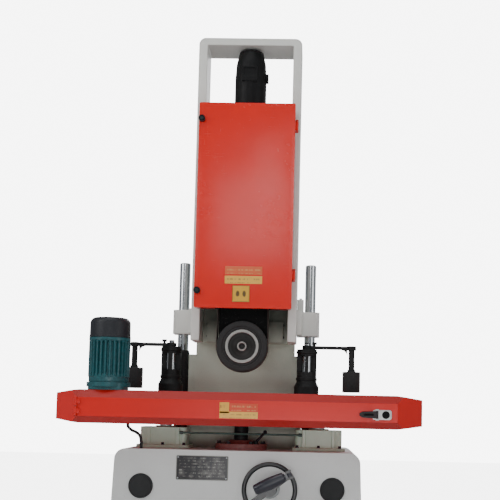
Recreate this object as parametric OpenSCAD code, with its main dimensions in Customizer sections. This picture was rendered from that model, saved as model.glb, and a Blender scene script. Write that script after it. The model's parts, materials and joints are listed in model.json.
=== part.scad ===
// Abrasive belt surface grinder with a lifting feed table and a sliding grinding head.
// Millimetres. X runs along the table, Y runs from the front to the back, Z is up.
// The origin lies on the floor, under the middle of the head, in the plane of the guide columns.

/* [Base] */
// Width of the base across its top
base_top_w = 936; // [900:2:980]
// Width of the base at the floor
base_foot_w = 984; // [940:2:1020]
// Height of the base
base_h = 683; // [660:1:720]
// Depth of the base from front to back
base_d = 700; // [680:2:740]
// Wall of the base
base_wall = 10; // [6:1:14]
// Radius of the base's top corners
base_corner_r = 40; // [20:1:50]
// Thickness of the foot plate
foot_t = 20; // [12:1:30]
// How far the foot plate reaches past the base on each side
foot_lip = 38; // [30:1:60]
// Radius of the anchor holes
anchor_r = 9; // [6:0.5:11]
// Radius of the two round covers in the front
plug_r = 47; // [40:1:52]
// Distance of each round cover from the middle
plug_x = 363; // [340:1:380]
// Height of the handwheel and of the round covers
control_z = 544; // [530:1:560]

/* [Column] */
// Width of the column
column_w = 470; // [440:2:476]
// Depth of the column
column_d = 220; // [200:2:240]
// Front face of the column
column_front_y = -30; // [-32:1:-20]
// Height of the column above the base
column_h = 382; // [340:1:384]
// Radius of the polished guide columns
guide_r = 22.4; // [18:0.2:24]
// Distance of each guide column from the middle
guide_x = 265; // [262:1:275]
// Top of the guide columns
guide_top = 1450; // [1440:5:1520]

/* [Head] */
// Width of the portal across its legs
portal_w = 424; // [410:2:426]
// Width of each portal leg
leg_w = 36; // [28:1:40]
// Lower end of the portal legs
portal_z0 = 1112; // [1105:1:1125]
// Top of the portal
portal_z1 = 2360; // [2330:5:2420]
// Thickness of the portal's top plate
portal_top_t = 31; // [22:1:40]
// Front face of the portal
portal_y0 = -190; // [-190:1:-186]
// Depth of the portal's top plate
portal_top_d = 160; // [150:1:200]
// Radius of the portal's upper corners
portal_corner_r = 28; // [15:1:34]
// Width of the red door
door_w = 384; // [370:2:390]
// Lower edge of the door
door_z0 = 1236; // [1230:1:1250]
// Height of the door
door_h = 824; // [780:2:840]

/* [Wheel and belt] */
// Radius of the contact wheel under the belt
wheel_r = 100; // [90:0.5:104]
// Height of the contact wheel's axis
wheel_z = 1088; // [1080:1:1100]
// Radius of the upper pulley under the belt
pulley_r = 90; // [80:0.5:96]
// Height of the upper pulley's axis
pulley_z = 1900; // [1880:1:1915]
// Width of the contact wheel
wheel_w = 54; // [40:1:56]
// Thickness of the abrasive belt
belt_t = 2; // [1:0.5:3]

/* [Table] */
// Length of the table casing
table_l = 1400; // [1380:5:1460]
// Length of the hinged front cover
cover_l = 1196; // [1180:2:1200]
// Underside of the table casing
table_z0 = 777; // [774:1:790]
// Height of the table casing
table_h = 126; // [120:1:132]
// Front face of the table casing
table_front_y = -440; // [-445:1:-430]
// Sheet of the table casing
sheet = 4; // [3:0.5:6]
// Height of the casing's upper bevel
bevel_top = 30; // [20:1:36]
// Height of the casing's lower bevel
bevel_low = 26; // [18:1:32]
// Radius of the feed drums under the belt
drum_r = 50; // [46:0.5:51]
// Width of the feed belt
feed_belt_w = 70; // [50:1:72]
// Place of the driven drum and of the feed motor along the table
motor_x = -501; // [-510:1:-490]
// Radius of the feed motor over its fins
motor_r = 79; // [70:1:84]
// Height of the finned motor body
motor_body_h = 170; // [140:1:190]
// Height of the motor's fan cap
motor_cap_h = 78; // [60:1:90]
// Distance of each table support from the middle
support_x = 309; // [304:1:315]
// Radius of the table's guide rods
rod_r = 25; // [18:0.5:28]
// Radius of the dark red jack flange
jack_flange_r = 103; // [85:1:105]

/* [Holding arms] */
// Left and right post, along the table
post_x = [-295, 256]; // [-300:1:262]
// Radius of each lantern post
post_r = 40; // [34:0.5:40]
// Left and right guide roller, along the table
roller_x = [-445, 437]; // [-455:1:455]
// Radius of the guide rollers
roller_r = 36; // [28:0.5:38]
// Height of the guide rollers
roller_h = 83; // [60:1:84]

/* [Handwheel] */
// Radius of the handwheel to the middle of its rim
rim_r = 95; // [85:1:100]
// Radius of the rim's section
rim_section_r = 9; // [7:0.5:11]
// Place of the handwheel along the front
handwheel_x = 129; // [126:1:132]
// Length of the folding grip
grip_l = 140; // [110:1:145]
// Radius of the folding grip
grip_r = 23; // [16:0.5:24]

/* [Fits] */
// Gap on the radius of a running fit
run_gap = 0.05; // [0.02:0.01:0.1]
// Gap between pieces that move past each other
move_gap = 0.3; // [0.2:0.05:0.5]

/* [Hidden] */

LEFT = 0;
RIGHT = 1;
over = 1;                                   // how far a cutter runs past a face
red = "#c4280f";
casing_red = "#c22a1d";
pale = "#c3c3bf";
base_grey = "#bbbcba";
black = "#202121";
steel = "#a8abad";
teal = "#20555a";

// Base
base_y0 = -base_d / 2;
base_y1 = base_d / 2;
base_top_t = 20;
foot_w = base_foot_w + 2 * foot_lip;
foot_d = base_d + 2 * foot_lip;
anchor_x = foot_w / 2 - foot_lip / 2;
anchor_y = foot_d / 2 - foot_lip / 2;
plug_hole_r = plug_r - 7;
rear_open_w = 400;
rear_open_z0 = 180;
rear_open_z1 = 520;
cable_x = -375;
cable_y = -300;
cable_r = 6;

// Column and head slide
column_top = base_h + column_h;
column_back_y = column_front_y + column_d;
column_wall = 12;
column_cap_t = 15;
lift_r = 16;
lift_y = 90;
lift_top = 1480;
sleeve_top = 1082;
ear_z0 = 1149;
ear_h = 100;
ear_out = 40;                               // ear past the guide column's axis
leg_out = portal_w / 2;
leg_in = leg_out - leg_w;
portal_y1 = -45;
plate_t = 15;
plate_y0 = portal_y1 - plate_t;
plate_z1 = 2055;

// Guard, door and belt
door_t = 17;
guard_t = 4;
guard_y0 = portal_y0 - 68;
guard_w = door_w - 8;
door_y1 = guard_y0 - move_gap;
door_y0 = door_y1 - door_t;
door_z1 = door_z0 + door_h;
door_axis = [door_w / 2 + 7, door_y1 - 4];
door_hinge_z = [1371, 1971];
knob_x = -door_w / 2 + 12;
knob_z = [1303, 1992];
wheel_y1 = portal_y0 - 7;
wheel_y0 = wheel_y1 - wheel_w;
shaft_r = 14;
tension_travel = 25;
carriage_z0 = pulley_z - 85;
carriage_z1 = pulley_z + 85;
carriage_y0 = portal_y0 + 4;
carriage_y1 = plate_y0 - 4;
boss_r = 52;
main_r = 92;
main_flange_y0 = portal_y1 + 2;
main_flange_t = 15;
main_back_y = 210;
actuator_y = -120;
actuator_r = 65;
actuator_z0 = 2030;
actuator_z1 = 2318;
tension_rod_r = 14;

// Rear door
rear_axis = [-rear_open_w / 2 - 24, base_y1 + 7];
rear_hinge_z = [rear_open_z0 + 60, rear_open_z1 - 60];

// Table
table_z1 = table_z0 + table_h;
table_end = table_l / 2;
cover_end = cover_l / 2;
table_back_y = -45;
cover_back_y = table_front_y + 40;
end_taper = 100;                            // how far each end is drawn back from the front
end_drop = 13;                              // how far the ends fall away above and below
feed_y0 = -250;
feed_y1 = feed_y0 + feed_belt_w;
feed_belt_t = 4;
drum_z = table_z1 + 2 - feed_belt_t - drum_r;
idle_x = 560;
rail_t = 8;
rail_y0 = feed_y0 - 12 - rail_t;
rail_y1 = feed_y1 + 12;
drum_shaft_r = 12;
motor_y = -345;
motor_z0 = table_z1 + 29;
support_w = 185;
support_d = 130;
support_y0 = -180;
support_top = table_z0 - 12;
table_rod_y = support_y0 + support_d / 2;
table_rod_z0 = 560;
jack_y = -150;
jack_shaft_r = 28;
jack_thread_r = 25;
lever_at = [62, jack_y - 62, base_h + 22];
jack_step_z = 575;
jack_z0 = 440;
worm_r = 28.5;
gear_r = handwheel_x - worm_r - move_gap;
gear_t = 40;
shaft_in_r = 12;
frame_z0 = control_z - 44;

// Posts and arms
post_y = -120;
post_top = 1088;
window_z0 = 996;
window_z1 = 1062;
skirt_r = 50;
post_rod_r = 20;
arm_z0 = post_top + move_gap;
arm_t = 16;
arm_hub_r = 19.5;
hang_r = 12;
roller_z0 = 918;

// Latch on the front cover
latch_x0 = 453;
latch_x1 = 577;
latch_z = 831;
latch_h = 46;
latch_pin_x = 522;
cover_axis = [-cover_end - 3.5, table_front_y - 5.5];
cover_hinge_half = 8;
cover_hinge_z = [table_z0 + 45, table_z0 + 81];

// Grip on the handwheel: it lies folded across the wheel
wheel_front_y = -418;
grip_turn = 155;                            // turns the grip's own X to its folded direction
grip_pivot = [202, -456, 604];

// Route of the feed cable: out of the casing, over and down through the base
cable_route = [[-430, -300, 777], [-427, -300, 764], [-414, -300, 752], [-396, -300, 744],
    [-382, -300, 732], [-376, -300, 712], [-375, -300, 680], [-375, -300, 620],
    [-375, -300, 560], [-375, -300, 520]];

// ---------------------------------------------------------------- helpers
function arc(c, r, a0, a1, n = 8) =
    [for (i = [0 : n]) c + r * [cos(a0 + (a1 - a0) * i / n), sin(a0 + (a1 - a0) * i / n)]];

function round_box(w, h, r) = concat(
    arc([w / 2 - r, h / 2 - r], r, 0, 90), arc([r - w / 2, h / 2 - r], r, 90, 180),
    arc([r - w / 2, r - h / 2], r, 180, 270), arc([w / 2 - r, r - h / 2], r, 270, 360));

// Flat drawing (x, z) pushed along Y
module along_y(y0, y1) {
    translate([0, y1, 0]) rotate([90, 0, 0]) linear_extrude(height = y1 - y0) children();
}

// Flat drawing (y, z) pushed along X
module along_x(x0, x1) {
    translate([x0, 0, 0]) rotate([90, 0, 90]) linear_extrude(height = x1 - x0) children();
}

module rod_y(x, z, r, y0, y1) {
    translate([x, y1, z]) rotate([90, 0, 0]) cylinder(r = r, h = y1 - y0, $fn = 48);
}

module rod_x(y, z, r, x0, x1) {
    translate([x0, y, z]) rotate([0, 90, 0]) cylinder(r = r, h = x1 - x0, $fn = 48);
}

module rod_z(x, y, r, z0, z1) {
    translate([x, y, z0]) cylinder(r = r, h = z1 - z0, $fn = 64);
}

module tube_z(x, y, r, bore, z0, z1) {
    difference() {
        rod_z(x, y, r, z0, z1);
        rod_z(x, y, bore, z0 - over, z1 + over);
    }
}

module block(x0, x1, y0, y1, z0, z1) {
    translate([x0, y0, z0]) cube([x1 - x0, y1 - y0, z1 - z0]);
}

module hex_bolt(x, y, z, r = 9, h = 9) {
    translate([x, y, z]) {
        cylinder(r = r * 1.25, h = 2, $fn = 32);
        translate([0, 0, 2]) cylinder(r = r, h = h, $fn = 6);
    }
}

// Hinge with an upright pin: the fixed half has the pin and two lugs, the moving half the barrel
hinge_r = 6;
hinge_pin_r = 3;
hinge_half = 17;

module hinge_fixed(axis, z, foot_from, foot_to, half = hinge_half) {
    rod_z(axis[0], axis[1], hinge_pin_r, z - half - 8, z + half + 8);
    for (side = [-1, 1]) {
        low = side < 0 ? z - half - 8 : z + half + move_gap;
        high = side < 0 ? z - half - move_gap : z + half + 8;
        rod_z(axis[0], axis[1], hinge_r, low, high);
        block(foot_from[0], foot_to[0], foot_from[1], foot_to[1], low, high);
    }
}

module hinge_barrel(axis, z, half = hinge_half) {
    rod_z(axis[0], axis[1], hinge_r, z - half, z + half);
}

module hinge_bore(axis, z, half = hinge_half) {
    rod_z(axis[0], axis[1], hinge_pin_r + run_gap, z - half - over, z + half + over);
}

// ---------------------------------------------------------------- base
module base_outline(inset, z0, z1) {
    w1 = base_top_w / 2 - inset;
    w0 = base_foot_w / 2 - inset;
    r = base_corner_r - inset / 2;
    polygon(concat([[-w0, z0], [w0, z0]], arc([w1 - r, z1 - r], r, 0, 90),
        arc([r - w1, z1 - r], r, 90, 180)));
}

module base_housing() {
    color(base_grey) for (z = rear_hinge_z)
        hinge_fixed(rear_axis, z, [rear_axis[0] - 4, base_y1 - 1], [rear_axis[0] + 4, rear_axis[1]]);
    color(base_grey) difference() {
        along_y(base_y0, base_y1) base_outline(0, foot_t, base_h);
        along_y(base_y0 + base_wall, base_y1 - base_wall)
            base_outline(base_wall, foot_t - over, base_h - base_top_t);
        block(-rear_open_w / 2, rear_open_w / 2, base_y1 - base_wall - over, base_y1 + over,
            rear_open_z0, rear_open_z1);
        for (side = [-1, 1]) {
            rod_y(side * plug_x, control_z, plug_hole_r, base_y0 - over, base_y0 + base_wall + over);
            rod_z(side * support_x, table_rod_y, rod_r + 4, base_h - base_top_t - over, base_h + over);
        }
        rod_y(handwheel_x, control_z, 26, base_y0 - over, base_y0 + base_wall + over);
        rod_z(0, jack_y, jack_shaft_r + 4, base_h - base_top_t - over, base_h + over);
        rod_z(cable_x, cable_y, cable_r + 3, base_h - base_top_t - over, base_h + over);
    }
}

module base_foot() {
    color(base_grey) difference() {
        linear_extrude(height = foot_t) difference() {
            polygon(round_box(foot_w, foot_d, 30));
            polygon(round_box(base_foot_w - 120, base_d - 120, 20));
        }
        for (sx = [-1, 1], sy = [-1, 1])
            rod_z(sx * anchor_x, sy * anchor_y, anchor_r, -over, foot_t + over);
    }
}

module hole_covers() {
    color(black) for (side = [-1, 1]) {
        rod_y(side * plug_x, control_z, plug_r, base_y0 - 5, base_y0);
        rod_y(side * plug_x, control_z, plug_hole_r - 0.2, base_y0 - 0.01, base_y0 + base_wall);
    }
}

module data_plate() {
    color("#26252a") {
        along_y(base_y0 - 2, base_y0) translate([-131, 616]) polygon(round_box(198, 92, 4));
        for (sx = [-1, 1], sz = [-1, 1])
            rod_y(-131 + sx * 91, 616 + sz * 38, 3, base_y0 - 3.2, base_y0 - 1.9);
    }
}

module rear_door() {
    color(base_grey) difference() {
        union() {
            along_y(base_y1 + move_gap, base_y1 + move_gap + 8)
                translate([0, (rear_open_z0 + rear_open_z1) / 2])
                    polygon(round_box(rear_open_w + 30, rear_open_z1 - rear_open_z0 + 30, 10));
            for (z = rear_hinge_z) {
                hinge_barrel(rear_axis, z);
                block(rear_axis[0], -rear_open_w / 2 - 14, base_y1 + 4, base_y1 + 8,
                    z - hinge_half, z + hinge_half);
            }
            rod_y(rear_open_w / 2 - 20, control_z - 200, 18, base_y1 + 8, base_y1 + 34);
        }
        for (z = rear_hinge_z) hinge_bore(rear_axis, z);
    }
}

// ---------------------------------------------------------------- column and lift
module column_body() {
    color("#9c9e99") difference() {
        union() {
            block(-column_w / 2, column_w / 2, column_front_y, column_back_y, base_h, column_top);
            block(-column_w / 2 + 30, column_w / 2 - 30, column_front_y, column_front_y + 25,
                column_top - 30, column_top + 62);
        }
        block(-column_w / 2 + column_wall, column_w / 2 - column_wall, column_front_y + column_wall,
            column_back_y - column_wall, base_h - over, column_top - column_cap_t);
        rod_z(0, lift_y, lift_r + run_gap, base_h, column_top + over);
    }
}

module guide_columns() {
    color(steel) for (side = [-1, 1]) {
        rod_z(side * guide_x, 0, guide_r, base_h, guide_top - 3);
        translate([side * guide_x, 0, guide_top - 3])
            cylinder(r1 = guide_r, r2 = guide_r - 3, h = 3, $fn = 64);
    }
}

module column_sleeves() {
    color(black) for (side = [-1, 1])
        difference() {
            union() {
                rod_z(side * guide_x, 0, guide_r + 4.6, base_h, sleeve_top);
                for (i = [0 : 24])
                    rod_z(side * guide_x, 0, guide_r + 6.4, base_h + 24 + 15 * i, base_h + 31 + 15 * i);
                rod_z(side * guide_x, 0, guide_r + 7.4, base_h, base_h + 16);
            }
            rod_z(side * guide_x, 0, guide_r, base_h - over, sleeve_top + over);
        }
}

module lift_gearbox() {
    color("#5e6a66") difference() {
        block(-70, 70, lift_y - 60, lift_y + 60, base_h, base_h + 90);
        rod_z(0, lift_y, lift_r + run_gap, base_h + 30, base_h + 91);
    }
}

module lift_screw() {
    color(steel) difference() {
        rod_z(0, lift_y, lift_r, base_h + 31, lift_top);
        for (i = [0 : 15])
            tube_z(0, lift_y, lift_r + over, lift_r - 1.5, 1260 + 12 * i, 1265 + 12 * i);
    }
}

// ---------------------------------------------------------------- table lift
module table_supports() {
    color("#929289") for (side = [-1, 1]) {
        x0 = side * support_x;
        difference() {
            union() {
                translate([x0, table_rod_y, base_h])
                    linear_extrude(height = support_top - base_h)
                        polygon(round_box(support_w, support_d, 14));
                translate([x0, table_rod_y - 4, base_h])
                    linear_extrude(height = 12) polygon(round_box(support_w + 26, support_d + 20, 10));
                rod_z(x0, table_rod_y, rod_r + 16, base_h, support_top + 5);
                for (i = [-1, 1])
                    block(x0 + i * 58 - 7, x0 + i * 58 + 7, support_y0 - 6, support_y0 + 2,
                        base_h, support_top);
            }
            rod_z(x0, table_rod_y, rod_r + run_gap, base_h - over, support_top + 6);
        }
    }
}

module frame_bolts() {
    color("#2c2d2e") {
        for (side = [-1, 1], i = [-1, 0, 1])
            hex_bolt(side * support_x + i * 84, support_y0 - 8, base_h + 12, 5.5, 7);
        for (i = [0 : 5]) {
            a = 60 * i;
            hex_bolt((jack_flange_r - 15) * cos(a), jack_y + (jack_flange_r - 15) * sin(a),
                base_h + 22, 8, 8);
        }
    }
}

module grease_line() {
    z = 744;
    y = support_y0 - 7;
    x_in = support_x - support_w / 2 + 20;
    color("#4d6a62") {
        rod_x(y, z, 4, -x_in, x_in);
        for (side = [-1, 1]) {
            rod_x(y, z, 6.5, side * x_in - 7, side * x_in + 7);
            rod_y(side * x_in, z, 5, y, support_y0);
        }
    }
}

module jack_flange() {
    color("#5e1f20") difference() {
        union() {
            rod_z(0, jack_y, jack_flange_r, base_h, base_h + 22);
            translate([0, jack_y, base_h + 22])
                cylinder(r1 = 64, r2 = 44, h = 14, $fn = 64);
            rod_z(lever_at[0], lever_at[1], 3 - run_gap, base_h + 21, lever_at[2] + 4.5);
        }
        rod_z(0, jack_y, jack_shaft_r + run_gap, base_h - over, base_h + 40);
    }
}

module lock_lever() {
    color(black) difference() {
        union() {
            translate(lever_at + [0, 0, move_gap]) cylinder(r = 10, h = 13, $fn = 40);
            translate(lever_at + [0, 0, 8]) rotate([0, 42, 0]) cylinder(r1 = 5, r2 = 4, h = 52, $fn = 32);
            translate(lever_at + [0, 0, 8] + 54 * [sin(42), 0, cos(42)]) sphere(r = 7.5, $fn = 32);
        }
        translate(lever_at) cylinder(r = 3, h = 5, $fn = 32);
    }
}

module handwheel_bearing() {
    color("#6d7071") difference() {
        union() {
            rod_y(handwheel_x, control_z, 36, base_y0 - 12, base_y0);
            rod_y(handwheel_x, control_z, 25.8, base_y0 - 24, base_y0 + base_wall + 6);
        }
        rod_y(handwheel_x, control_z, shaft_in_r + run_gap, base_y0 - 25, base_y0 + base_wall + 7);
    }
}

// Hanging frame under the base's top: it carries the worm and the worm wheel
module jack_frame() {
    x0 = -gear_r - 14;
    x1 = handwheel_x + worm_r + 12;
    y1 = jack_y + gear_r + 14;
    color("#7b7e7d") difference() {
        union() {
            block(x0, x1, jack_y - gear_r - 12, y1, frame_z0 - 14, frame_z0);
            block(x0 - 12, x0, jack_y - gear_r - 12, y1, frame_z0 - 14, base_h - base_top_t);
            block(x0 - 12, x1, y1, y1 + 14, frame_z0 - 14, base_h - base_top_t);
            rod_z(0, jack_y, 46, frame_z0, control_z - gear_t / 2 - move_gap);
        }
        rod_z(0, jack_y, jack_thread_r + 3, frame_z0 - 20, control_z);
        rod_y(handwheel_x, control_z, shaft_in_r + run_gap, y1 - over, y1 + 15);
    }
}

module worm_wheel() {
    teeth = 30;
    color("#a8843c") difference() {
        union() {
            translate([0, jack_y, control_z - gear_t / 2]) linear_extrude(height = gear_t) difference() {
                circle(r = gear_r, $fn = 120);
                for (i = [0 : teeth - 1])
                    rotate(360 / teeth * (i + 0.5)) translate([gear_r - 6, -3]) square([8, 6]);
            }
            rod_z(0, jack_y, 44, control_z, control_z + 28);
        }
        rod_z(0, jack_y, jack_thread_r + move_gap, control_z - gear_t, control_z + 30);
    }
}

module worm_shaft() {
    y1 = jack_y + gear_r + 14;
    color(steel) difference() {
        union() {
            rod_y(handwheel_x, control_z, shaft_in_r, wheel_front_y + 18, y1 + 22);
            rod_y(handwheel_x, control_z, worm_r, jack_y - 45, jack_y + 45);
        }
        for (i = [0 : 5])
            rod_ring(handwheel_x, control_z, worm_r, worm_r - 6, jack_y - 38 + 14 * i, 6);
    }
}

module rod_ring(x, z, r_out, r_in, y, w) {
    difference() {
        rod_y(x, z, r_out + over, y, y + w);
        rod_y(x, z, r_in, y - over, y + w + over);
    }
}

module handwheel() {
    color(black) difference() {
        union() {
            translate([handwheel_x, wheel_front_y, control_z]) rotate([90, 0, 0])
                rotate_extrude($fn = 96) translate([rim_r, 0]) circle(r = rim_section_r, $fn = 28);
            rod_y(handwheel_x, control_z, 25, wheel_front_y - 12, base_y0 - 24 - move_gap);
            translate([handwheel_x, wheel_front_y, control_z]) rotate([0, -38, 0])
                block(-rim_r, rim_r, -6, 6, -12, 12);
            translate([grip_pivot[0], 0, grip_pivot[2]]) rotate([0, grip_turn, 0])
                for (side = [-1, 1])
                    block(-11, 11, grip_pivot[1] - 10, wheel_front_y, side * 12 - 4, side * 12 + 4);
            translate(grip_pivot) rotate([0, grip_turn, 0]) rod_z(0, 0, 4, -16, 16);
        }
        rod_y(handwheel_x, control_z, shaft_in_r, wheel_front_y + 18, base_y0);
    }
}

// The grip turns on a pin between two lugs on the rim; folded, it lies across the wheel
module folding_grip() {
    color("#1b1b26") translate(grip_pivot) rotate([0, grip_turn, 0]) difference() {
        union() {
            rod_z(0, 0, 9, -7.6, 7.6);
            block(0, 20, -6, 6, -7.6, 7.6);
            translate([16, 0, 0]) rotate([0, 90, 0]) rotate_extrude($fn = 48) polygon(concat(
                [[0, 0], [11, 0], [13, 4]],
                [for (i = [0 : 10]) [grip_r - 4 + 4 * sin(18 * i) , 6 + (grip_l - 26) * i / 10]],
                [[grip_r - 8, grip_l - 16], [0, grip_l - 16]]));
        }
        rod_z(0, 0, 4 + run_gap, -9, 9);
    }
}

// ---------------------------------------------------------------- table
// Solid block of the casing's outer shape, drawn in by an inset
module casing_block(inset) {
    front = table_front_y + inset;
    slope = inset * 0.4;
    intersection() {
        translate([0, 0, table_z0]) linear_extrude(height = table_h)
            polygon([[-cover_end + slope, front], [cover_end - slope, front],
                [table_end - inset, table_front_y + end_taper + slope], [table_end - inset, -66],
                [table_end - 20 - slope, table_back_y - inset],
                [-table_end + 20 + slope, table_back_y - inset],
                [-table_end + inset, -66], [-table_end + inset, table_front_y + end_taper + slope]]);
        along_x(-table_end, table_end)
            polygon([[front, table_z0 + bevel_low + slope],
                [table_front_y + bevel_low + slope, table_z0 + inset],
                [table_back_y - inset, table_z0 + inset], [table_back_y - inset, table_z1 - inset],
                [table_front_y + bevel_top + slope, table_z1 - inset],
                [front, table_z1 - bevel_top - slope]]);
        along_y(table_front_y, table_back_y)
            polygon([[-table_end + inset, table_z0 + end_drop + inset], [-cover_end, table_z0 + inset],
                [cover_end, table_z0 + inset], [table_end - inset, table_z0 + end_drop + inset],
                [table_end - inset, table_z1 - end_drop - inset], [cover_end, table_z1 - inset],
                [-cover_end, table_z1 - inset], [-table_end + inset, table_z1 - end_drop - inset]]);
    }
}

module table_casing() {
    gap = move_gap;
    color(casing_red) {
        difference() {
            casing_block(0);
            casing_block(sheet);
            block(-cover_end - gap, cover_end + gap, table_front_y - 9, cover_back_y + gap,
                table_z0 - over, table_z1 + over);
            block(motor_x - drum_r - 12, idle_x + drum_r + 12, feed_y0 - 6, feed_y1 + 6,
                table_z1 - sheet - over, table_z1 + over);
            rod_z(motor_x, motor_y, 38, table_z1 - sheet - over, table_z1 + over);
            for (side = [-1, 1])
                rod_z(side * support_x, table_rod_y, 8, table_z0 - over, table_z0 + sheet + over);
            rod_z(cable_route[0][0], cable_y, cable_r + 0.5, table_z0 - over, table_z0 + sheet + over);
        }
        for (z = cover_hinge_z)
            hinge_fixed(cover_axis, z, [cover_axis[0] - 9, cover_axis[1]],
                [cover_axis[0], cover_axis[1] + 20], cover_hinge_half);
    }
}

module table_frame() {
    color("#6f7271") difference() {
        union() {
            for (y = [rail_y0, rail_y1])
                block(-cover_end, cover_end, y, y + rail_t, table_z0 + sheet, table_z1 - sheet);
            block(motor_x + drum_r + 30, idle_x - drum_r - 30, rail_y0 + rail_t, rail_y1,
                table_z1 - feed_belt_t - 16, table_z1 - sheet);
            block(motor_x + drum_r + 30, idle_x - drum_r - 30, feed_y0 - 4, feed_y1 + 4,
                table_z1 - sheet - 1, table_z1 + 2 - feed_belt_t - move_gap);
            for (side = [-1, 1])
                block(side * support_x - 40, side * support_x + 40, rail_y1 + rail_t,
                    table_back_y - sheet - 6, table_z0 + sheet, table_z0 + sheet + 24);
        }
        for (x = [motor_x, idle_x])
            rod_y(x, drum_z, drum_shaft_r + run_gap, rail_y0 - over, rail_y1 + rail_t + over);
    }
}

module table_rods() {
    color(steel) for (side = [-1, 1]) {
        rod_z(side * support_x, table_rod_y, rod_r, table_rod_z0, table_z0);
        rod_z(side * support_x, table_rod_y, 8, table_z0, table_z0 + sheet);
    }
}

module jack_screw() {
    color("#221a16") {
        rod_z(0, jack_y, jack_shaft_r, jack_step_z, table_z0);
        difference() {
            rod_z(0, jack_y, jack_thread_r, jack_z0, jack_step_z);
            for (i = [0 : 4])
                tube_z(0, jack_y, jack_thread_r + over, jack_thread_r - 2, jack_z0 + 8 + 14 * i,
                    jack_z0 + 14 + 14 * i);
        }
    }
}

module feed_loop(r) {
    translate([motor_x, drum_z]) circle(r = r, $fn = 96);
    translate([idle_x, drum_z]) circle(r = r, $fn = 96);
    translate([motor_x, drum_z - r]) square([idle_x - motor_x, 2 * r]);
}

module feed_belt() {
    color("#2a2a2b") along_y(feed_y0, feed_y1) difference() {
        feed_loop(drum_r + feed_belt_t);
        feed_loop(drum_r + 0.02);
    }
}

module drum(x, y0) {
    color("#8d9092") {
        rod_y(x, drum_z, drum_r - move_gap, feed_y0 - 3, feed_y1 + 3);
        rod_y(x, drum_z, drum_shaft_r, y0, rail_y1 + rail_t + 4);
    }
}

module drive_drum() {
    drum(motor_x, motor_y - 20);
}

module idle_drum() {
    drum(idle_x, rail_y0 - 4);
}

module feed_gearbox() {
    color("#3c4a4c") {
        difference() {
            union() {
                block(motor_x - 55, motor_x + 55, cover_back_y + 6, rail_y0, drum_z - 50, table_z1 - sheet);
                rod_z(motor_x, motor_y, 37.8, table_z1 - sheet, table_z1);
                translate([motor_x, motor_y, table_z1]) linear_extrude(height = 12)
                    polygon(round_box(136, 136, 20));
                rod_z(motor_x, motor_y, motor_r + 4, table_z1 + 12, motor_z0);
            }
            rod_y(motor_x, drum_z, drum_shaft_r + run_gap, motor_y - 22, rail_y0 + over);
        }
    }
}

module feed_motor() {
    fins = 28;
    color(teal) {
        rod_z(motor_x, motor_y, motor_r - 9, motor_z0, motor_z0 + motor_body_h);
        for (i = [0 : fins - 1])
            translate([motor_x, motor_y, motor_z0 + 26]) rotate(360 / fins * i)
                translate([motor_r - 12, -1.75, 0]) cube([11, 3.5, motor_body_h - 32]);
        rod_z(motor_x, motor_y, motor_r - 3, motor_z0, motor_z0 + 20);
        rod_z(motor_x, motor_y, motor_r, motor_z0 + motor_body_h - 12, motor_z0 + motor_body_h);
    }
}

module feed_motor_cap() {
    z0 = motor_z0 + motor_body_h;
    r = 22;
    color("#1e2128") translate([motor_x, motor_y, z0]) difference() {
        rotate_extrude($fn = 96) polygon(concat([[0, 0], [motor_r, 0]],
            arc([motor_r - 3 - r, motor_cap_h - r], r, 0, 90), [[0, motor_cap_h]]));
        translate([0, 0, -over]) cylinder(r = motor_r - 8, h = motor_cap_h - 9, $fn = 64);
        for (i = [0 : 11], k = [0 : 1])
            rotate(30 * i + 15 * k) translate([20 + 16 * k, -2.5, motor_cap_h - 14]) cube([11, 5, 20]);
    }
}

// Smooth curve through a list of points, then rings of a tube along it
function spline_at(p, i, t) =
    let(a = p[max(i - 1, 0)], b = p[i], c = p[i + 1], d = p[min(i + 2, len(p) - 1)])
    0.5 * (2 * b + (c - a) * t + (2 * a - 5 * b + 4 * c - d) * t * t
        + (3 * b - a - 3 * c + d) * t * t * t);
function unit(v) = v / norm(v);

module tube_along(points, r, sides = 10, steps = 3) {
    path = concat([for (i = [0 : len(points) - 2], k = [0 : steps - 1]) spline_at(points, i, k / steps)],
        [points[len(points) - 1]]);
    n = len(path);
    rings = [for (i = [0 : n - 1])
        let(t = unit(path[min(i + 1, n - 1)] - path[max(i - 1, 0)]), u = [0, 1, 0], v = cross(t, u))
        for (k = [0 : sides - 1]) path[i] + r * (cos(360 * k / sides) * u + sin(360 * k / sides) * v)];
    walls = [for (i = [0 : n - 2], k = [0 : sides - 1])
        [i * sides + k, (i + 1) * sides + k, (i + 1) * sides + (k + 1) % sides, i * sides + (k + 1) % sides]];
    ends = [[for (k = [0 : sides - 1]) k], [for (k = [sides - 1 : -1 : 0]) (n - 1) * sides + k]];
    polyhedron(points = rings, faces = concat(walls, ends));
}

module feed_cable() {
    color("#1c1c1e") tube_along(cable_route, cable_r);
}

module front_cover() {
    color(casing_red) difference() {
        union() {
            difference() {
                intersection() {
                    casing_block(0);
                    block(-cover_end, cover_end, table_front_y - over, cover_back_y, table_z0 - over,
                        table_z1 + over);
                }
                intersection() {
                    casing_block(sheet);
                    block(-cover_end + sheet, cover_end - sheet, table_front_y, cover_back_y + over,
                        table_z0, table_z1);
                }
            }
            for (z = cover_hinge_z) {
                hinge_barrel(cover_axis, z, cover_hinge_half);
                block(cover_axis[0], cover_axis[0] + 16, cover_axis[1] - 3, table_front_y - move_gap,
                    z - cover_hinge_half, z + cover_hinge_half);
                block(-cover_end, cover_axis[0] + 16, cover_axis[1] - 3, table_front_y + 0.5,
                    z - cover_hinge_half, z + cover_hinge_half);
            }
        }
        for (z = cover_hinge_z) hinge_bore(cover_axis, z, cover_hinge_half);
    }
}

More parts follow.
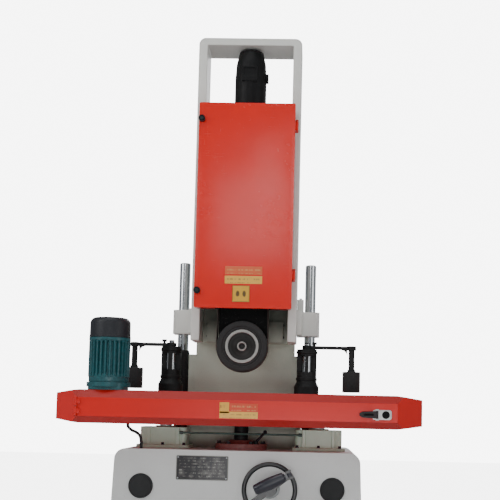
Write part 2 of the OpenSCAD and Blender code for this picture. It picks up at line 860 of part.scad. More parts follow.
module latch_plate() {
    color("#9b9d9b") difference() {
        union() {
            along_y(table_front_y - 4, table_front_y) translate([(latch_x0 + latch_x1) / 2, latch_z])
                polygon(round_box(latch_x1 - latch_x0, latch_h, 12));
            for (side = [-1, 1])
                block(latch_pin_x - 6, latch_pin_x + 6, table_front_y - 13, table_front_y - 3,
                    latch_z + side * 18 - 3, latch_z + side * 18 + 3);
            rod_z(latch_pin_x, table_front_y - 9, 2.5, latch_z - 18, latch_z + 18);
        }
        rod_y(latch_x1 - 23, latch_z, 17, table_front_y - 5, table_front_y - 1.5);
    }
}

module latch_lever() {
    y0 = table_front_y - 12;
    color("#b5b6b4") difference() {
        union() {
            rod_z(latch_pin_x, table_front_y - 9, 4.6, latch_z - 14.6, latch_z + 14.6);
            along_y(y0, y0 + 6) polygon([[latch_pin_x, latch_z - 14], [latch_pin_x, latch_z + 14],
                [latch_x0 + 14, latch_z + 11], [latch_x0 + 3, latch_z + 4], [latch_x0 + 3, latch_z - 4],
                [latch_x0 + 14, latch_z - 11]]);
        }
        rod_z(latch_pin_x, table_front_y - 9, 2.5 + run_gap, latch_z - 20, latch_z + 20);
        block(latch_x0 + 18, latch_pin_x - 12, y0 - over, y0 + 3, latch_z - 4, latch_z + 4);
    }
}

// ---------------------------------------------------------------- posts, arms, rollers
module lantern_post(x) {
    difference() {
        union() {
            rod_z(x, post_y, post_r, table_z1, post_top);
            rod_z(x, post_y, skirt_r, table_z1, table_z1 + 34);
            translate([x, post_y, table_z1 + 34])
                cylinder(r1 = skirt_r, r2 = post_r, h = 20, $fn = 64);
        }
        rod_z(x, post_y, post_rod_r + run_gap, table_z1 + 30, post_top + over);
        translate([x, post_y, window_z0]) linear_extrude(height = window_z1 - window_z0) difference() {
            circle(r = post_r + 5, $fn = 64);
            for (i = [0 : 3]) rotate(90 * i) translate([post_rod_r, -7]) square([post_r, 14]);
            circle(r = post_rod_r + run_gap, $fn = 64);
        }
    }
}

module lantern_posts() {
    color("#1d1f20") for (x = post_x) lantern_post(x);
}

module post_rod(side) {
    color(steel) {
        rod_z(post_x[side], post_y, post_rod_r, table_z1 + 34, arm_z0);
        rod_z(post_x[side], post_y, 11, arm_z0 - 1, arm_z0 + arm_t + 6);
    }
}

module post_rod_left() {
    post_rod(LEFT);
}

module post_rod_right() {
    post_rod(RIGHT);
}

module arm(side) {
    x0 = post_x[side];
    x1 = roller_x[side];
    way = x1 > x0 ? 1 : -1;
    color("#1f2020") difference() {
        union() {
            rod_z(x0, post_y, arm_hub_r, arm_z0 + move_gap, arm_z0 + arm_t);
            block(min(x0, x1), max(x0, x1), post_y - 9, post_y + 9, arm_z0 + 2, arm_z0 + arm_t - 1);
            rod_z(x1, post_y, hang_r + 6, arm_z0 + move_gap, arm_z0 + arm_t);
            rod_z(x0 + way * 30, post_y, 5, arm_z0 + arm_t - 2, arm_z0 + arm_t + 6);
            rod_z(x0 + way * 30, post_y, 10, arm_z0 + arm_t + 5, arm_z0 + arm_t + 14);
        }
        rod_z(x0, post_y, 11 + run_gap, arm_z0 - over, arm_z0 + arm_t + over);
        rod_z(x1, post_y, hang_r + run_gap, arm_z0 - over, arm_z0 + arm_t + over);
    }
}

module arm_left() {
    arm(LEFT);
}

module arm_right() {
    arm(RIGHT);
}

module roller_rod(side) {
    color("#28292b") {
        rod_z(roller_x[side], post_y, hang_r, roller_z0 + roller_h + 3, arm_z0 + arm_t + 1);
        rod_z(roller_x[side], post_y, 7, roller_z0 + 4, roller_z0 + roller_h + 4);
        rod_z(roller_x[side], post_y, hang_r + 4, roller_z0 + roller_h + move_gap, roller_z0 + roller_h + 9);
    }
}

module roller_rod_left() {
    roller_rod(LEFT);
}

module roller_rod_right() {
    roller_rod(RIGHT);
}

module guide_roller(side) {
    color("#202126") translate([roller_x[side], post_y, roller_z0]) difference() {
        rotate_extrude($fn = 72) polygon(concat([[0, 0]],
            arc([roller_r - 5, 5], 5, 270, 360), arc([roller_r - 5, roller_h - 5], 5, 0, 90), [[0, roller_h]]));
        translate([0, 0, 3]) cylinder(r = 7 + run_gap, h = roller_h, $fn = 48);
    }
}

module guide_roller_left() {
    guide_roller(LEFT);
}

module guide_roller_right() {
    guide_roller(RIGHT);
}

// ---------------------------------------------------------------- head
module portal_outline() {
    r = portal_corner_r;
    polygon(concat([[-leg_out, portal_z0], [-leg_in, portal_z0], [-leg_in, portal_z1 - portal_top_t],
        [leg_in, portal_z1 - portal_top_t], [leg_in, portal_z0], [leg_out, portal_z0]],
        arc([leg_out - r, portal_z1 - r], r, 0, 90), arc([r - leg_out, portal_z1 - r], r, 90, 180)));
}

module portal_frame() {
    color(pale) {
        along_y(portal_y0, portal_y1) portal_outline();
        block(-leg_out + portal_corner_r, leg_out - portal_corner_r, portal_y1 - over,
            portal_y0 + portal_top_d, portal_z1 - portal_top_t, portal_z1);
    }
}

module head_plate() {
    color("#8f918c") difference() {
        block(-leg_in, leg_in, plate_y0, portal_y1, portal_z0, plate_z1);
        translate([0, portal_y1 + over, 0]) rotate([90, 0, 0]) linear_extrude(height = plate_t + 2) {
            translate([0, pulley_z]) circle(r = boss_r + 3, $fn = 64);
            translate([0, pulley_z - tension_travel - 3]) circle(r = boss_r + 3, $fn = 64);
            translate([-boss_r - 3, pulley_z - tension_travel - 3])
                square([2 * boss_r + 6, tension_travel + 3]);
        }
    }
}

module guide_ear(side) {
    outer = guide_x + ear_out;
    difference() {
        union() {
            translate([0, 0, ear_z0]) linear_extrude(height = ear_h) polygon(concat(
                [[side * leg_out, -45], [side * leg_out, 45]],
                [[side * (outer - 14), 45], [side * outer, 31], [side * outer, -31],
                [side * (outer - 14), -45]]));
            block(side > 0 ? leg_out : -leg_out - 20, side > 0 ? leg_out + 20 : -leg_out, -110, -40,
                ear_z0, ear_z0 + ear_h);
            if (side > 0) {
                block(leg_out, leg_out + 26, -40, 10, ear_z0 + ear_h - 1, ear_z0 + ear_h + 52);
                rod_z(leg_out + 13, -15, 6, ear_z0 + ear_h + 50, ear_z0 + ear_h + 60);
            }
        }
        rod_z(side * guide_x, 0, guide_r + run_gap, ear_z0 - over, ear_z0 + ear_h + over);
    }
}

module guide_ears() {
    color("#b0b4b3") for (side = [-1, 1]) guide_ear(side);
}

module guard_box() {
    hw = guard_w / 2;
    z0 = door_z0 + 4;
    z1 = door_z1 - 4;
    color("#a5230f") difference() {
        union() {
            block(-hw, hw, guard_y0, portal_y0, z0, z1);
            along_y(portal_y0 - guard_t, portal_y0) hull() {
                translate([0, wheel_z]) circle(r = wheel_r - 2, $fn = 96);
                translate([2 - wheel_r, z0]) square([2 * wheel_r - 4, 10]);
            }
            for (z = door_hinge_z)
                hinge_fixed(door_axis, z, [hw - 2, guard_y0 + 1], [door_axis[0] + 2, guard_y0 + 5]);
            for (z = door_hinge_z, side = [-1, 1])
                block(door_axis[0] - 3, door_axis[0] + 3, door_axis[1], guard_y0 + 5,
                    side < 0 ? z - hinge_half - 8 : z + hinge_half + move_gap,
                    side < 0 ? z - hinge_half - move_gap : z + hinge_half + 8);
        }
        block(-hw + guard_t, hw - guard_t, guard_y0 - over, portal_y0 - guard_t, z0 + guard_t, z1 - guard_t);
        block(-wheel_r - 14, wheel_r + 14, guard_y0 - over, portal_y0 - guard_t, z0 - over, z0 + 10);
        rod_y(0, wheel_z, shaft_r + 4, portal_y0 - guard_t - over, portal_y0 + over);
        block(-shaft_r - 8, shaft_r + 8, portal_y0 - 6, portal_y0 + over,
            pulley_z - tension_travel - shaft_r - 8, pulley_z + shaft_r + 8);
    }
}

module spindle_housing() {
    color("#6d706c") difference() {
        union() {
            rod_y(0, wheel_z, 44, portal_y0 + 6, plate_y0);
            along_y(plate_y0 - 30, plate_y0) polygon([[-leg_in + 20, portal_z0 + 4], [leg_in - 20, portal_z0 + 4],
                [leg_in - 20, portal_z0 + 90], [40, portal_z0 + 90], [-40, portal_z0 + 90],
                [-leg_in + 20, portal_z0 + 90]]);
            block(-44, 44, portal_y0 + 30, plate_y0, wheel_z, portal_z0 + 60);
        }
        rod_y(0, wheel_z, shaft_r + run_gap, portal_y0, plate_y0 + over);
    }
}

module lift_bracket() {
    color("#8f918c") difference() {
        union() {
            block(-55, 55, portal_y1, lift_y + 30, 1180, 1230);
            rod_z(0, lift_y, 34, 1165, 1245);
        }
        rod_z(0, lift_y, lift_r + run_gap, 1160, 1250);
    }
}

module tension_unit() {
    color(black) difference() {
        union() {
            rod_z(0, actuator_y, actuator_r - 8, actuator_z0, plate_z1 + 6);
            rod_z(0, actuator_y, actuator_r, plate_z1 + 5, 2210);
            translate([0, actuator_y, 2210])
                cylinder(r1 = actuator_r, r2 = actuator_r - 4, h = 60, $fn = 64);
            translate([0, actuator_y, 2270])
                cylinder(r1 = actuator_r - 4, r2 = 50, h = actuator_z1 - 2270, $fn = 64);
            for (side = [-1, 1])
                rod_z(side * 26, actuator_y, 9, actuator_z1 - over, portal_z1 - portal_top_t);
            block(-33, 29, actuator_y - actuator_r - 2, actuator_y - 40, 2182, 2243);
            rod_x(actuator_y, 2212, 20, 40, actuator_r + 8);
        }
        block(-27, 23, actuator_y - actuator_r - 3, actuator_y - actuator_r + 1, 2210, 2238);
        rod_z(0, actuator_y, tension_rod_r + run_gap, actuator_z0 - over, actuator_z0 + 100);
    }
}

// Loop around both wheels, drawn on (x, z)
module belt_loop(e) {
    tilt = asin((wheel_r - pulley_r) / (pulley_z - wheel_z));
    n = [cos(tilt), sin(tilt)];
    low = [0, wheel_z] + (wheel_r + e) * n;
    high = [0, pulley_z] + (pulley_r + e) * n;
    translate([0, wheel_z]) circle(r = wheel_r + e, $fn = 128);
    translate([0, pulley_z]) circle(r = pulley_r + e, $fn = 128);
    polygon([low, high, [-high[0], high[1]], [-low[0], low[1]]]);
}

module abrasive_belt() {
    color("#3a2c27") along_y(wheel_y0 + 1, wheel_y1 - 1) difference() {
        belt_loop(belt_t);
        belt_loop(0.02);
    }
}

module belt_door() {
    hw = door_w / 2;
    color(red) difference() {
        union() {
            along_y(door_y0, door_y1) translate([0, (door_z0 + door_z1) / 2])
                polygon(round_box(door_w, door_h, 6));
            for (z = door_hinge_z) {
                hinge_barrel(door_axis, z);
                block(hw - 3, door_axis[0], door_axis[1] - 4, door_axis[1], z - hinge_half, z + hinge_half);
            }
        }
        along_y(door_y0 + 3, door_y1 + over) translate([0, (door_z0 + door_z1) / 2]) difference() {
            polygon(round_box(door_w - 6, door_h - 6, 4));
            for (z = knob_z) translate([knob_x, z - (door_z0 + door_z1) / 2]) circle(r = 8.5, $fn = 32);
        }
        for (z = door_hinge_z) hinge_bore(door_axis, z);
        for (z = knob_z) rod_y(knob_x, z, 5 + run_gap, door_y0 - over, door_y1 + over);
    }
}

module door_knob(z) {
    color(black) {
        rod_y(knob_x, z, 13, door_y0 - 16, door_y0 - move_gap);
        rod_y(knob_x, z, 5, door_y0 - over, door_y1 - 0.2);
    }
}

module door_knob_upper() {
    door_knob(knob_z[1]);
}

module door_knob_lower() {
    door_knob(knob_z[0]);
}

module ring_y(r_out, r_in, y0, y1) {
    difference() {
        rod_y(0, wheel_z, r_out, y0, y1);
        rod_y(0, wheel_z, r_in, y0 - over, y1 + over);
    }
}

module wheel_tyre() {
    color("#272525") ring_y(wheel_r - move_gap, 70, wheel_y0, wheel_y1);
}

module wheel_hub() {
    color("#858380") difference() {
        union() {
            ring_y(70, 54, wheel_y0 - 3, wheel_y1);
            ring_y(55, 16, wheel_y0 + 10, wheel_y1 - 8);
            rod_y(0, wheel_z, 20, wheel_y0 - 2, wheel_y1);
            rod_y(0, wheel_z, shaft_r, wheel_y0 - 8, plate_y0 - 0.5);
        }
        rod_y(0, wheel_z, 5, wheel_y0 - 10, wheel_y0 + 6);
    }
}

module tension_carriage() {
    color("#7a7d7b") difference() {
        union() {
            block(-leg_in + move_gap, leg_in - move_gap, carriage_y1 - 26, carriage_y1, carriage_z0, carriage_z1);
            block(-72, 72, carriage_y0, carriage_y1, carriage_z0, carriage_z1);
            rod_y(0, pulley_z, boss_r, carriage_y1 - over, main_flange_y0);
            rod_z(0, actuator_y, tension_rod_r, carriage_z1 - over, actuator_z0 + 70);
        }
        rod_y(0, pulley_z, shaft_r + 0.5, carriage_y0 - over, main_flange_y0 + over);
    }
}

module main_motor() {
    fins = 24;
    y1 = main_flange_y0 + main_flange_t;
    color("#3f4a52") difference() {
        union() {
            rod_y(0, pulley_z, main_r + 12, main_flange_y0, y1);
            rod_y(0, pulley_z, main_r - 9, y1 - over, main_back_y);
            for (i = [0 : fins - 1])
                translate([0, y1 - over, pulley_z]) rotate([0, 360 / fins * i, 0])
                    translate([main_r - 12, 0, -2]) cube([12, main_back_y - y1 - 30, 4]);
            rod_y(0, pulley_z, main_r, main_back_y - 20, main_back_y + 60);
            block(-48, 48, y1 + 50, y1 + 150, pulley_z + main_r - 14, pulley_z + main_r + 44);
        }
        rod_y(0, pulley_z, shaft_r + run_gap, main_flange_y0 - over, y1 + 40);
    }
}

module drive_pulley() {
    color("#8d9092") {
        rod_y(0, pulley_z, shaft_r, wheel_y0 - 6, main_flange_y0 + 40);
        difference() {
            rod_y(0, pulley_z, pulley_r - move_gap, wheel_y0, wheel_y1);
            rod_y(0, pulley_z, pulley_r - 14, wheel_y0 - over, wheel_y0 + 14);
        }
        rod_y(0, pulley_z, 26, wheel_y0 - 2, wheel_y0 + 15);
    }
}

base_housing();
base_foot();
hole_covers();
data_plate();
rear_door();
column_body();
guide_columns();
column_sleeves();
lift_gearbox();
lift_screw();
table_supports();
frame_bolts();
grease_line();
jack_flange();
lock_lever();
handwheel_bearing();
jack_frame();
worm_wheel();
handwheel();
worm_shaft();
folding_grip();
table_casing();
table_frame();
table_rods();
jack_screw();
feed_belt();
drive_drum();
idle_drum();
feed_gearbox();
feed_motor();
feed_motor_cap();
feed_cable();
front_cover();
latch_plate();
latch_lever();
lantern_posts();
post_rod_left();
post_rod_right();
arm_left();
arm_right();
roller_rod_left();
roller_rod_right();
guide_roller_left();
guide_roller_right();
portal_frame();
head_plate();
guide_ears();
guard_box();
spindle_housing();
lift_bracket();
tension_unit();
abrasive_belt();
belt_door();
door_knob_upper();
door_knob_lower();
wheel_tyre();
wheel_hub();
tension_carriage();
main_motor();
drive_pulley();
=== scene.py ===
"""Looks for a belt surface grinder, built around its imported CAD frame, in metres, +Z up."""

import json
import math

import bmesh
import bpy
import numpy as np
from mathutils import Matrix, Vector

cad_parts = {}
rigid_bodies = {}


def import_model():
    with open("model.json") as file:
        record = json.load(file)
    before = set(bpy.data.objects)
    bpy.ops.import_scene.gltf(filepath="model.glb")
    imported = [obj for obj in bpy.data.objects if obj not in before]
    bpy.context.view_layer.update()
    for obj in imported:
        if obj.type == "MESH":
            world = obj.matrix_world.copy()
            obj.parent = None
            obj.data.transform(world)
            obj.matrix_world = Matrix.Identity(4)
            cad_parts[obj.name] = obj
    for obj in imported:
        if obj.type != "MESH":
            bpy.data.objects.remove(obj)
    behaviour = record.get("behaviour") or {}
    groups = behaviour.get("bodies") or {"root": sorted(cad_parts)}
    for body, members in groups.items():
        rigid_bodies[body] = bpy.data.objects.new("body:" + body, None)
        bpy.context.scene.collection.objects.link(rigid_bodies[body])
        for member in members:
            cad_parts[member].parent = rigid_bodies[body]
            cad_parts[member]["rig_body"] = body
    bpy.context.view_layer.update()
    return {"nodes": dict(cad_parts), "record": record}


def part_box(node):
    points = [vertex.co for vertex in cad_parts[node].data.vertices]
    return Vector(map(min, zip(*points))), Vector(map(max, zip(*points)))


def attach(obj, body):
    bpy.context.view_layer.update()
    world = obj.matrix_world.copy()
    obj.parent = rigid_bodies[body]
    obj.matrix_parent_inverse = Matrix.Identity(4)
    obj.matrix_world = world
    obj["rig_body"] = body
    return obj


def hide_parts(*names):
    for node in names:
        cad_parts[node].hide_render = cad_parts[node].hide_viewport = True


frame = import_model()
NODES = frame["nodes"]
TAU = 2 * math.pi


# ---------------------------------------------------------------- shader maths
def srgb(r, g, b):
    """Screen colour, 0 to 255, as linear light."""
    c = np.array([r, g, b]) / 255
    lin = np.where(c <= 0.04045, c / 12.92, ((c + 0.055) / 1.055) ** 2.4)
    return (*[float(v) for v in lin], 1.0)


class Value:
    """A node's output. Arithmetic on it adds Math nodes."""

    def __init__(self, finish, socket):
        self.finish, self.socket = finish, socket

    def _math(self, operation, *values):
        return self.finish.node("Math", {"operation": operation}, *values)

    def __add__(self, other):
        return self._math("ADD", self, other)

    def __radd__(self, other):
        return self._math("ADD", other, self)

    def __sub__(self, other):
        return self._math("SUBTRACT", self, other)

    def __rsub__(self, other):
        return self._math("SUBTRACT", other, self)

    def __mul__(self, other):
        return self._math("MULTIPLY", self, other)

    def __rmul__(self, other):
        return self._math("MULTIPLY", other, self)

    def __truediv__(self, other):
        return self._math("DIVIDE", self, other)

    def step(self, low, high):
        """0 at low, 1 at high, an even change between and level beyond. Low may be the larger."""
        return self.finish.node("MapRange", {"clamp": True}, self, low, high, 0.0, 1.0)

    def sin(self):
        return self._math("SINE", self)

    def power(self, n):
        return self._math("POWER", self, n)

    def absolute(self):
        return self._math("ABSOLUTE", self)


class Finish:
    """A material under construction: a Principled shader and the nodes that feed it."""

    def __init__(self, name, roughness=0.5, metallic=0.0, coat=0.0, sheen=0.0, specular=0.5):
        self.material = bpy.data.materials.new(name)
        self.material.use_nodes = True
        self.tree = self.material.node_tree
        self.shader = self.tree.nodes["Principled BSDF"]
        self.set("Roughness", roughness)
        self.set("Metallic", metallic)
        self.set("Coat Weight", coat)
        self.set("Coat Roughness", 0.12)
        self.set("Sheen Weight", sheen)
        self.set("Specular IOR Level", specular)
        self.place = self.node("TexCoord", out="Object")

    def join(self, value, socket):
        """Links a Value to a socket, or sets the socket to a plain number, colour or vector."""
        if isinstance(value, Value):
            self.tree.links.new(value.socket, socket)
        else:
            socket.default_value = value

    def set(self, socket, value):
        self.join(value, self.shader.inputs[socket])

    def node(self, kind, settings=None, *values, out=0, **named):
        """Any node, by its type. Settings come first; values go to its inputs by order or name."""
        n = self.tree.nodes.new("ShaderNode" + kind)
        for key, value in (settings or {}).items():
            setattr(n, key, value)
        for i, value in enumerate(values):
            self.join(value, n.inputs[i])
        for key, value in named.items():
            self.join(value, n.inputs[key.replace("_", " ")])
        return Value(self, n.outputs[out])

    def mix(self, share, a, b):
        """Colour a turning to colour b as share goes from 0 to 1."""
        n = self.tree.nodes.new("ShaderNodeMix")
        n.data_type = "RGBA"
        self.join(share, n.inputs[0])
        self.join(a, n.inputs[6])
        self.join(b, n.inputs[7])
        return Value(self, n.outputs[2])

    def stretched(self, x, y, z):
        """Object place with each axis scaled."""
        return self.node("Mapping", None, self.place, Scale=(x, y, z))

    def noise(self, scale, detail=3.0, place=None):
        """Cloudy noise, 0 to 1, over the object or over another place."""
        place = place or self.place
        return self.node("TexNoise", None, Vector=place, Scale=scale, Detail=detail, Roughness=0.55)

    def axis(self, name):
        """One coordinate of the object's own place, in metres."""
        return self.node("SeparateXYZ", None, self.place, out=name)

    def bump(self, height, distance):
        """Raises the surface by height, 0 to 1, times distance in metres."""
        n = self.tree.nodes.new("ShaderNodeBump")
        n.inputs["Distance"].default_value = distance
        n.inputs["Strength"].default_value = 1.0
        self.join(height, n.inputs["Height"])
        self.tree.links.new(n.outputs[0], self.shader.inputs["Normal"])


def shade(colour, factor):
    """The colour times a factor."""
    return (*[min(1.0, c * factor) for c in colour[:3]], 1.0)


def scratches(f):
    """Fine bright lines in two directions: noise drawn out long and thin, cut off high."""
    cut = 0.62
    a = f.noise(1.0, 2.0, f.stretched(9, 30, 520)).step(cut, cut + 0.05)
    b = f.noise(1.0, 2.0, f.stretched(420, 30, 14)).step(cut + 0.02, cut + 0.08)
    patch = f.noise(5.0, 2.0).step(0.5, 0.68)
    return (a + b) * patch


def enamel(name, colour, rough=0.32, coat=0.25, grime=0.35, peel=0.00012, wear=0.16):
    """Sprayed enamel: slow tone changes, dust specks, faint scratches and orange peel."""
    f = Finish(name, rough, coat=coat)
    cloud = f.noise(3.1, 4.0)
    fine = f.noise(46.0, 3.0)
    tone = f.mix(cloud.step(0.3, 0.72), shade(colour, 0.93), shade(colour, 1.06))
    specks = f.noise(310.0, 1.0).step(0.69, 0.75) * fine.step(0.42, 0.62)
    dust = cloud.step(0.52, 0.78) * fine.step(0.35, 0.7) * grime
    worn = scratches(f)
    tone = f.mix(dust * 0.5, tone, shade(colour, 0.72))
    tone = f.mix(specks * 0.55, tone, shade(colour, 0.45))
    tone = f.mix(worn * wear, tone, shade(colour, 1.3))
    f.set("Base Color", tone)
    f.set("Roughness", rough + dust * 0.25 + fine * 0.07 + worn * (wear / 2))
    f.bump(f.noise(230.0, 2.0), peel)
    return f


def shade_gradient_enamel(name, colour, low, high):
    """Enamel with painted shade that deepens between two heights, standing for the shadow cast under
    the door and the guard, with faint runs in it.
    """
    f = Finish(name, 0.45, coat=0.1)
    z = f.axis("Z") + f.noise(9.0, 4.0) * 0.03
    # Painted shade: the dark olive tone takes over between the two heights, standing for the shadow of
    # the door and the guard.
    painted_shade = z.step(low, high)
    runs = f.noise(1.0, 3.0, f.stretched(60, 60, 3))
    tone = f.mix(runs * 0.3, colour, shade(colour, 0.85))
    f.set("Base Color", f.mix(painted_shade * 0.85, tone, srgb(66, 68, 56)))
    f.set("Roughness", 0.4 + painted_shade * 0.15)
    f.bump(f.noise(230.0, 2.0), 0.00012)
    return f


def gloss_door(name, colour):
    """Glossy sheet enamel: little grime, few scratches, fine peel and a softer mirror."""
    f = enamel(name, colour, rough=0.22, coat=0.2, grime=0.16, peel=0.00008, wear=0.04)
    f.set("Specular IOR Level", 0.4)
    return f


def cast_paint(name, colour, rough=0.42):
    """Thick paint over a sand casting: a lumpy skin and dirt in the hollows."""
    f = Finish(name, rough, coat=0.15)
    lumps = f.noise(95.0, 4.0)
    fine = f.noise(420.0, 2.0)
    hollows = lumps.step(0.58, 0.36)
    tone = f.mix(f.noise(9.0, 3.0).step(0.35, 0.7), shade(colour, 0.88), shade(colour, 1.12))
    tone = f.mix(hollows * 0.45, tone, shade(colour, 0.55))
    f.set("Base Color", tone)
    f.set("Roughness", rough + hollows * 0.2 + fine * 0.08)
    f.bump(lumps * 0.8 + fine * 0.2, 0.0006)
    return f


def machined_iron(name, colour, rough=0.42):
    """Grey iron, milled: close parallel cutter marks and blotches of oil."""
    f = Finish(name, rough, metallic=0.85)
    marks = f.noise(1.0, 2.0, f.stretched(22, 22, 900))
    oil = f.noise(14.0, 4.0).step(0.5, 0.72)
    tone = f.mix(marks, shade(colour, 0.86), shade(colour, 1.14))
    tone = f.mix(oil * 0.5, tone, shade(colour, 0.55))
    f.set("Base Color", tone)
    f.set("Roughness", rough + marks * 0.12 - oil * 0.14)
    f.bump(marks, 0.00005)
    return f


def bright_bar(name, colour, rough):
    """Ground or chromed bar: hair-fine rings round its length and a film of oil."""
    f = Finish(name, rough, metallic=1.0)
    rings = f.noise(1.0, 2.0, f.stretched(4, 4, 1500))
    film = f.noise(17.0, 3.0).step(0.48, 0.75)
    f.set("Base Color", f.mix(film * 0.35, colour, shade(colour, 0.7)))
    f.set("Roughness", rough + rings * 0.07 + film * 0.1)
    f.bump(rings, 0.00002)
    return f


def turned_metal(name, colour, rough, centre):
    """Faced on a lathe: rings about a centre line along Y, with a faint wobble."""
    f = Finish(name, rough, metallic=0.95)
    x, z = f.axis("X") - centre[0], f.axis("Z") - centre[1]
    r = (x * x + z * z).power(0.5)
    rings = (r * 5200 + f.noise(30.0) * 3).sin() * 0.5 + 0.5
    bands = (r * 410 + f.noise(6.0) * 2).sin() * 0.5 + 0.5
    f.set("Base Color", f.mix(bands * 0.6, shade(colour, 0.82), shade(colour, 1.1)))
    f.set("Roughness", rough + rings * 0.12)
    f.bump(rings, 0.00003)
    return f


def black_oxide(name, colour, rough=0.45):
    """Blackened steel: patchy sheen and worn bright specks."""
    f = Finish(name, rough, metallic=0.75)
    cloud = f.noise(24.0, 4.0)
    specks = f.noise(260.0, 2.0).step(0.68, 0.74)
    tone = f.mix(cloud.step(0.35, 0.7), shade(colour, 0.8), shade(colour, 1.25))
    f.set("Base Color", f.mix(specks * 0.4, tone, srgb(120, 120, 118)))
    f.set("Roughness", rough + cloud * 0.2 - specks * 0.15)
    f.bump(cloud * 0.5 + f.noise(330.0) * 0.5, 0.0001)
    return f


def moulded(name, colour, rough=0.5, grain=520.0, depth=0.00015, coat=0.0, specular=0.5):
    """Moulded plastic: fine spark grain, a few rubbed patches."""
    f = Finish(name, rough, coat=coat, specular=specular)
    skin = f.noise(grain, 2.0)
    rubbed = f.noise(12.0, 3.0).step(0.52, 0.75)
    f.set("Base Color", f.mix(rubbed * 0.4, colour, shade(colour, 1.5)))
    f.set("Roughness", rough + skin * 0.15 - rubbed * 0.12)
    f.bump(skin, depth)
    return f


def rubber(name, colour, rough=0.72):
    """Rubber: matt, dusty in its pores."""
    f = Finish(name, rough, sheen=0.15)
    pores = f.noise(700.0, 2.0)
    dust = f.noise(26.0, 4.0).step(0.45, 0.8)
    f.set("Base Color", f.mix(dust * 0.35, colour, shade(colour, 1.9)))
    f.set("Roughness", rough + pores * 0.12)
    f.bump(pores, 0.00012)
    return f


def abrasive_cloth(name, colour):
    """Grit on cloth: dense grains, brown resin between them, darker lines along the run."""
    f = Finish(name, 0.86)
    grains = f.node("TexVoronoi", None, Vector=f.place, Scale=900.0, out="Distance")
    runs = f.noise(1.0, 3.0, f.stretched(3, 260, 3))
    tone = f.mix(grains.step(0.1, 0.6), shade(colour, 1.7), shade(colour, 0.6))
    f.set("Base Color", f.mix(runs.step(0.5, 0.75) * 0.5, tone, srgb(92, 90, 88)))
    f.set("Roughness", 0.8 + grains * 0.15)
    f.bump(grains, 0.0003)
    return f


def belt_weave(name, colour):
    """Conveyor belting: crossed ribs 1.6 mm apart, dusted with metal."""
    f = Finish(name, 0.78)
    pitch = 0.0016
    ribs = (f.axis("X") * (TAU / pitch)).sin() * (f.axis("Y") * (TAU / pitch)).sin()
    swarf = f.noise(30.0, 4.0).step(0.5, 0.8)
    tone = f.mix(ribs * 0.5 + 0.5, shade(colour, 0.8), shade(colour, 1.4))
    f.set("Base Color", f.mix(swarf * 0.35, tone, srgb(110, 108, 104)))
    f.set("Roughness", 0.7 + swarf * 0.15)
    f.bump(ribs * 0.5 + 0.5, 0.0002)
    return f


def printed_plate(name, ground, ink, rows, centre, half):
    """Metal plate with rows of unreadable small marks, worked out from blocks of noise."""
    f = Finish(name, 0.4, metallic=0.2, coat=0.2)
    x = (f.axis("X") - centre[0]) / half[0]
    z = (f.axis("Z") - centre[1]) / half[1]
    row = (z * (rows * math.pi)).sin().step(0.15, 0.35)
    blocks = f.noise(1.0, 1.0, f.stretched(260, 1, rows * 9)).step(0.47, 0.53)
    inside = (1 - x.absolute()).step(0.1, 0.13) * (1 - z.absolute()).step(0.14, 0.18)
    rim = 1 - (1 - x.absolute()).step(0.03, 0.035) * (1 - z.absolute()).step(0.05, 0.06)
    wear = f.noise(60.0, 4.0).step(0.42, 0.6)
    smudge = f.noise(38.0, 3.0).step(0.46, 0.7)
    print_ink = row * blocks * inside
    tone = f.mix(print_ink * wear * 0.34 + smudge * inside * 0.22, ground, ink)
    f.set("Base Color", f.mix(rim * 0.3, tone, ink))
    f.set("Roughness", 0.34 + f.noise(90.0) * 0.18)
    f.bump(print_ink, 0.00008)
    return f


def label_film(name, colour, ink, centre, half, rows, ink_share):
    """Yellow film with smudged dark bars that stand for print."""
    f = Finish(name, 0.42, coat=0.2)
    x = (f.axis("X") - centre[0]) / half[0]
    z = (f.axis("Z") - centre[1]) / half[1]
    bars = (z * (rows * math.pi) + 0.6).sin().step(0.1, 0.5)
    blocks = f.noise(1.0, 1.0, f.stretched(170, 1, 30)).step(0.44, 0.56)
    inside = (1 - x.absolute()).step(0.08, 0.14) * (1 - z.absolute()).step(0.12, 0.22)
    fade = f.mix(f.noise(35.0, 3.0), shade(colour, 0.9), shade(colour, 1.08))
    f.set("Base Color", f.mix(bars * blocks * inside * ink_share, fade, ink))
    f.set("Roughness", 0.38 + f.noise(120.0) * 0.12)
    return f


def warning_film(name, colour, ink, centre, half):
    """Yellow film with a thin dark frame and two soft dark ovals that stand for a picture."""
    f = Finish(name, 0.42, coat=0.2)
    x = (f.axis("X") - centre[0]) / half[0]
    z = (f.axis("Z") - centre[1]) / half[1]
    side = x.absolute() - 0.38
    away = side * side * 14 + z * z * 5
    ovals = 1 - (away + f.noise(60.0, 3.0) * 0.7).step(0.75, 1.25)
    frame_line = (1 - x.absolute()).step(0.1, 0.08) + (1 - z.absolute()).step(0.1, 0.08)
    fade = f.mix(f.noise(35.0, 3.0), shade(colour, 0.9), shade(colour, 1.08))
    tone = f.mix(ovals * 0.85, fade, ink)
    f.set("Base Color", f.mix(frame_line.step(0.2, 0.9) * 0.55, tone, ink))
    f.set("Roughness", 0.38 + f.noise(120.0) * 0.12)
    return f


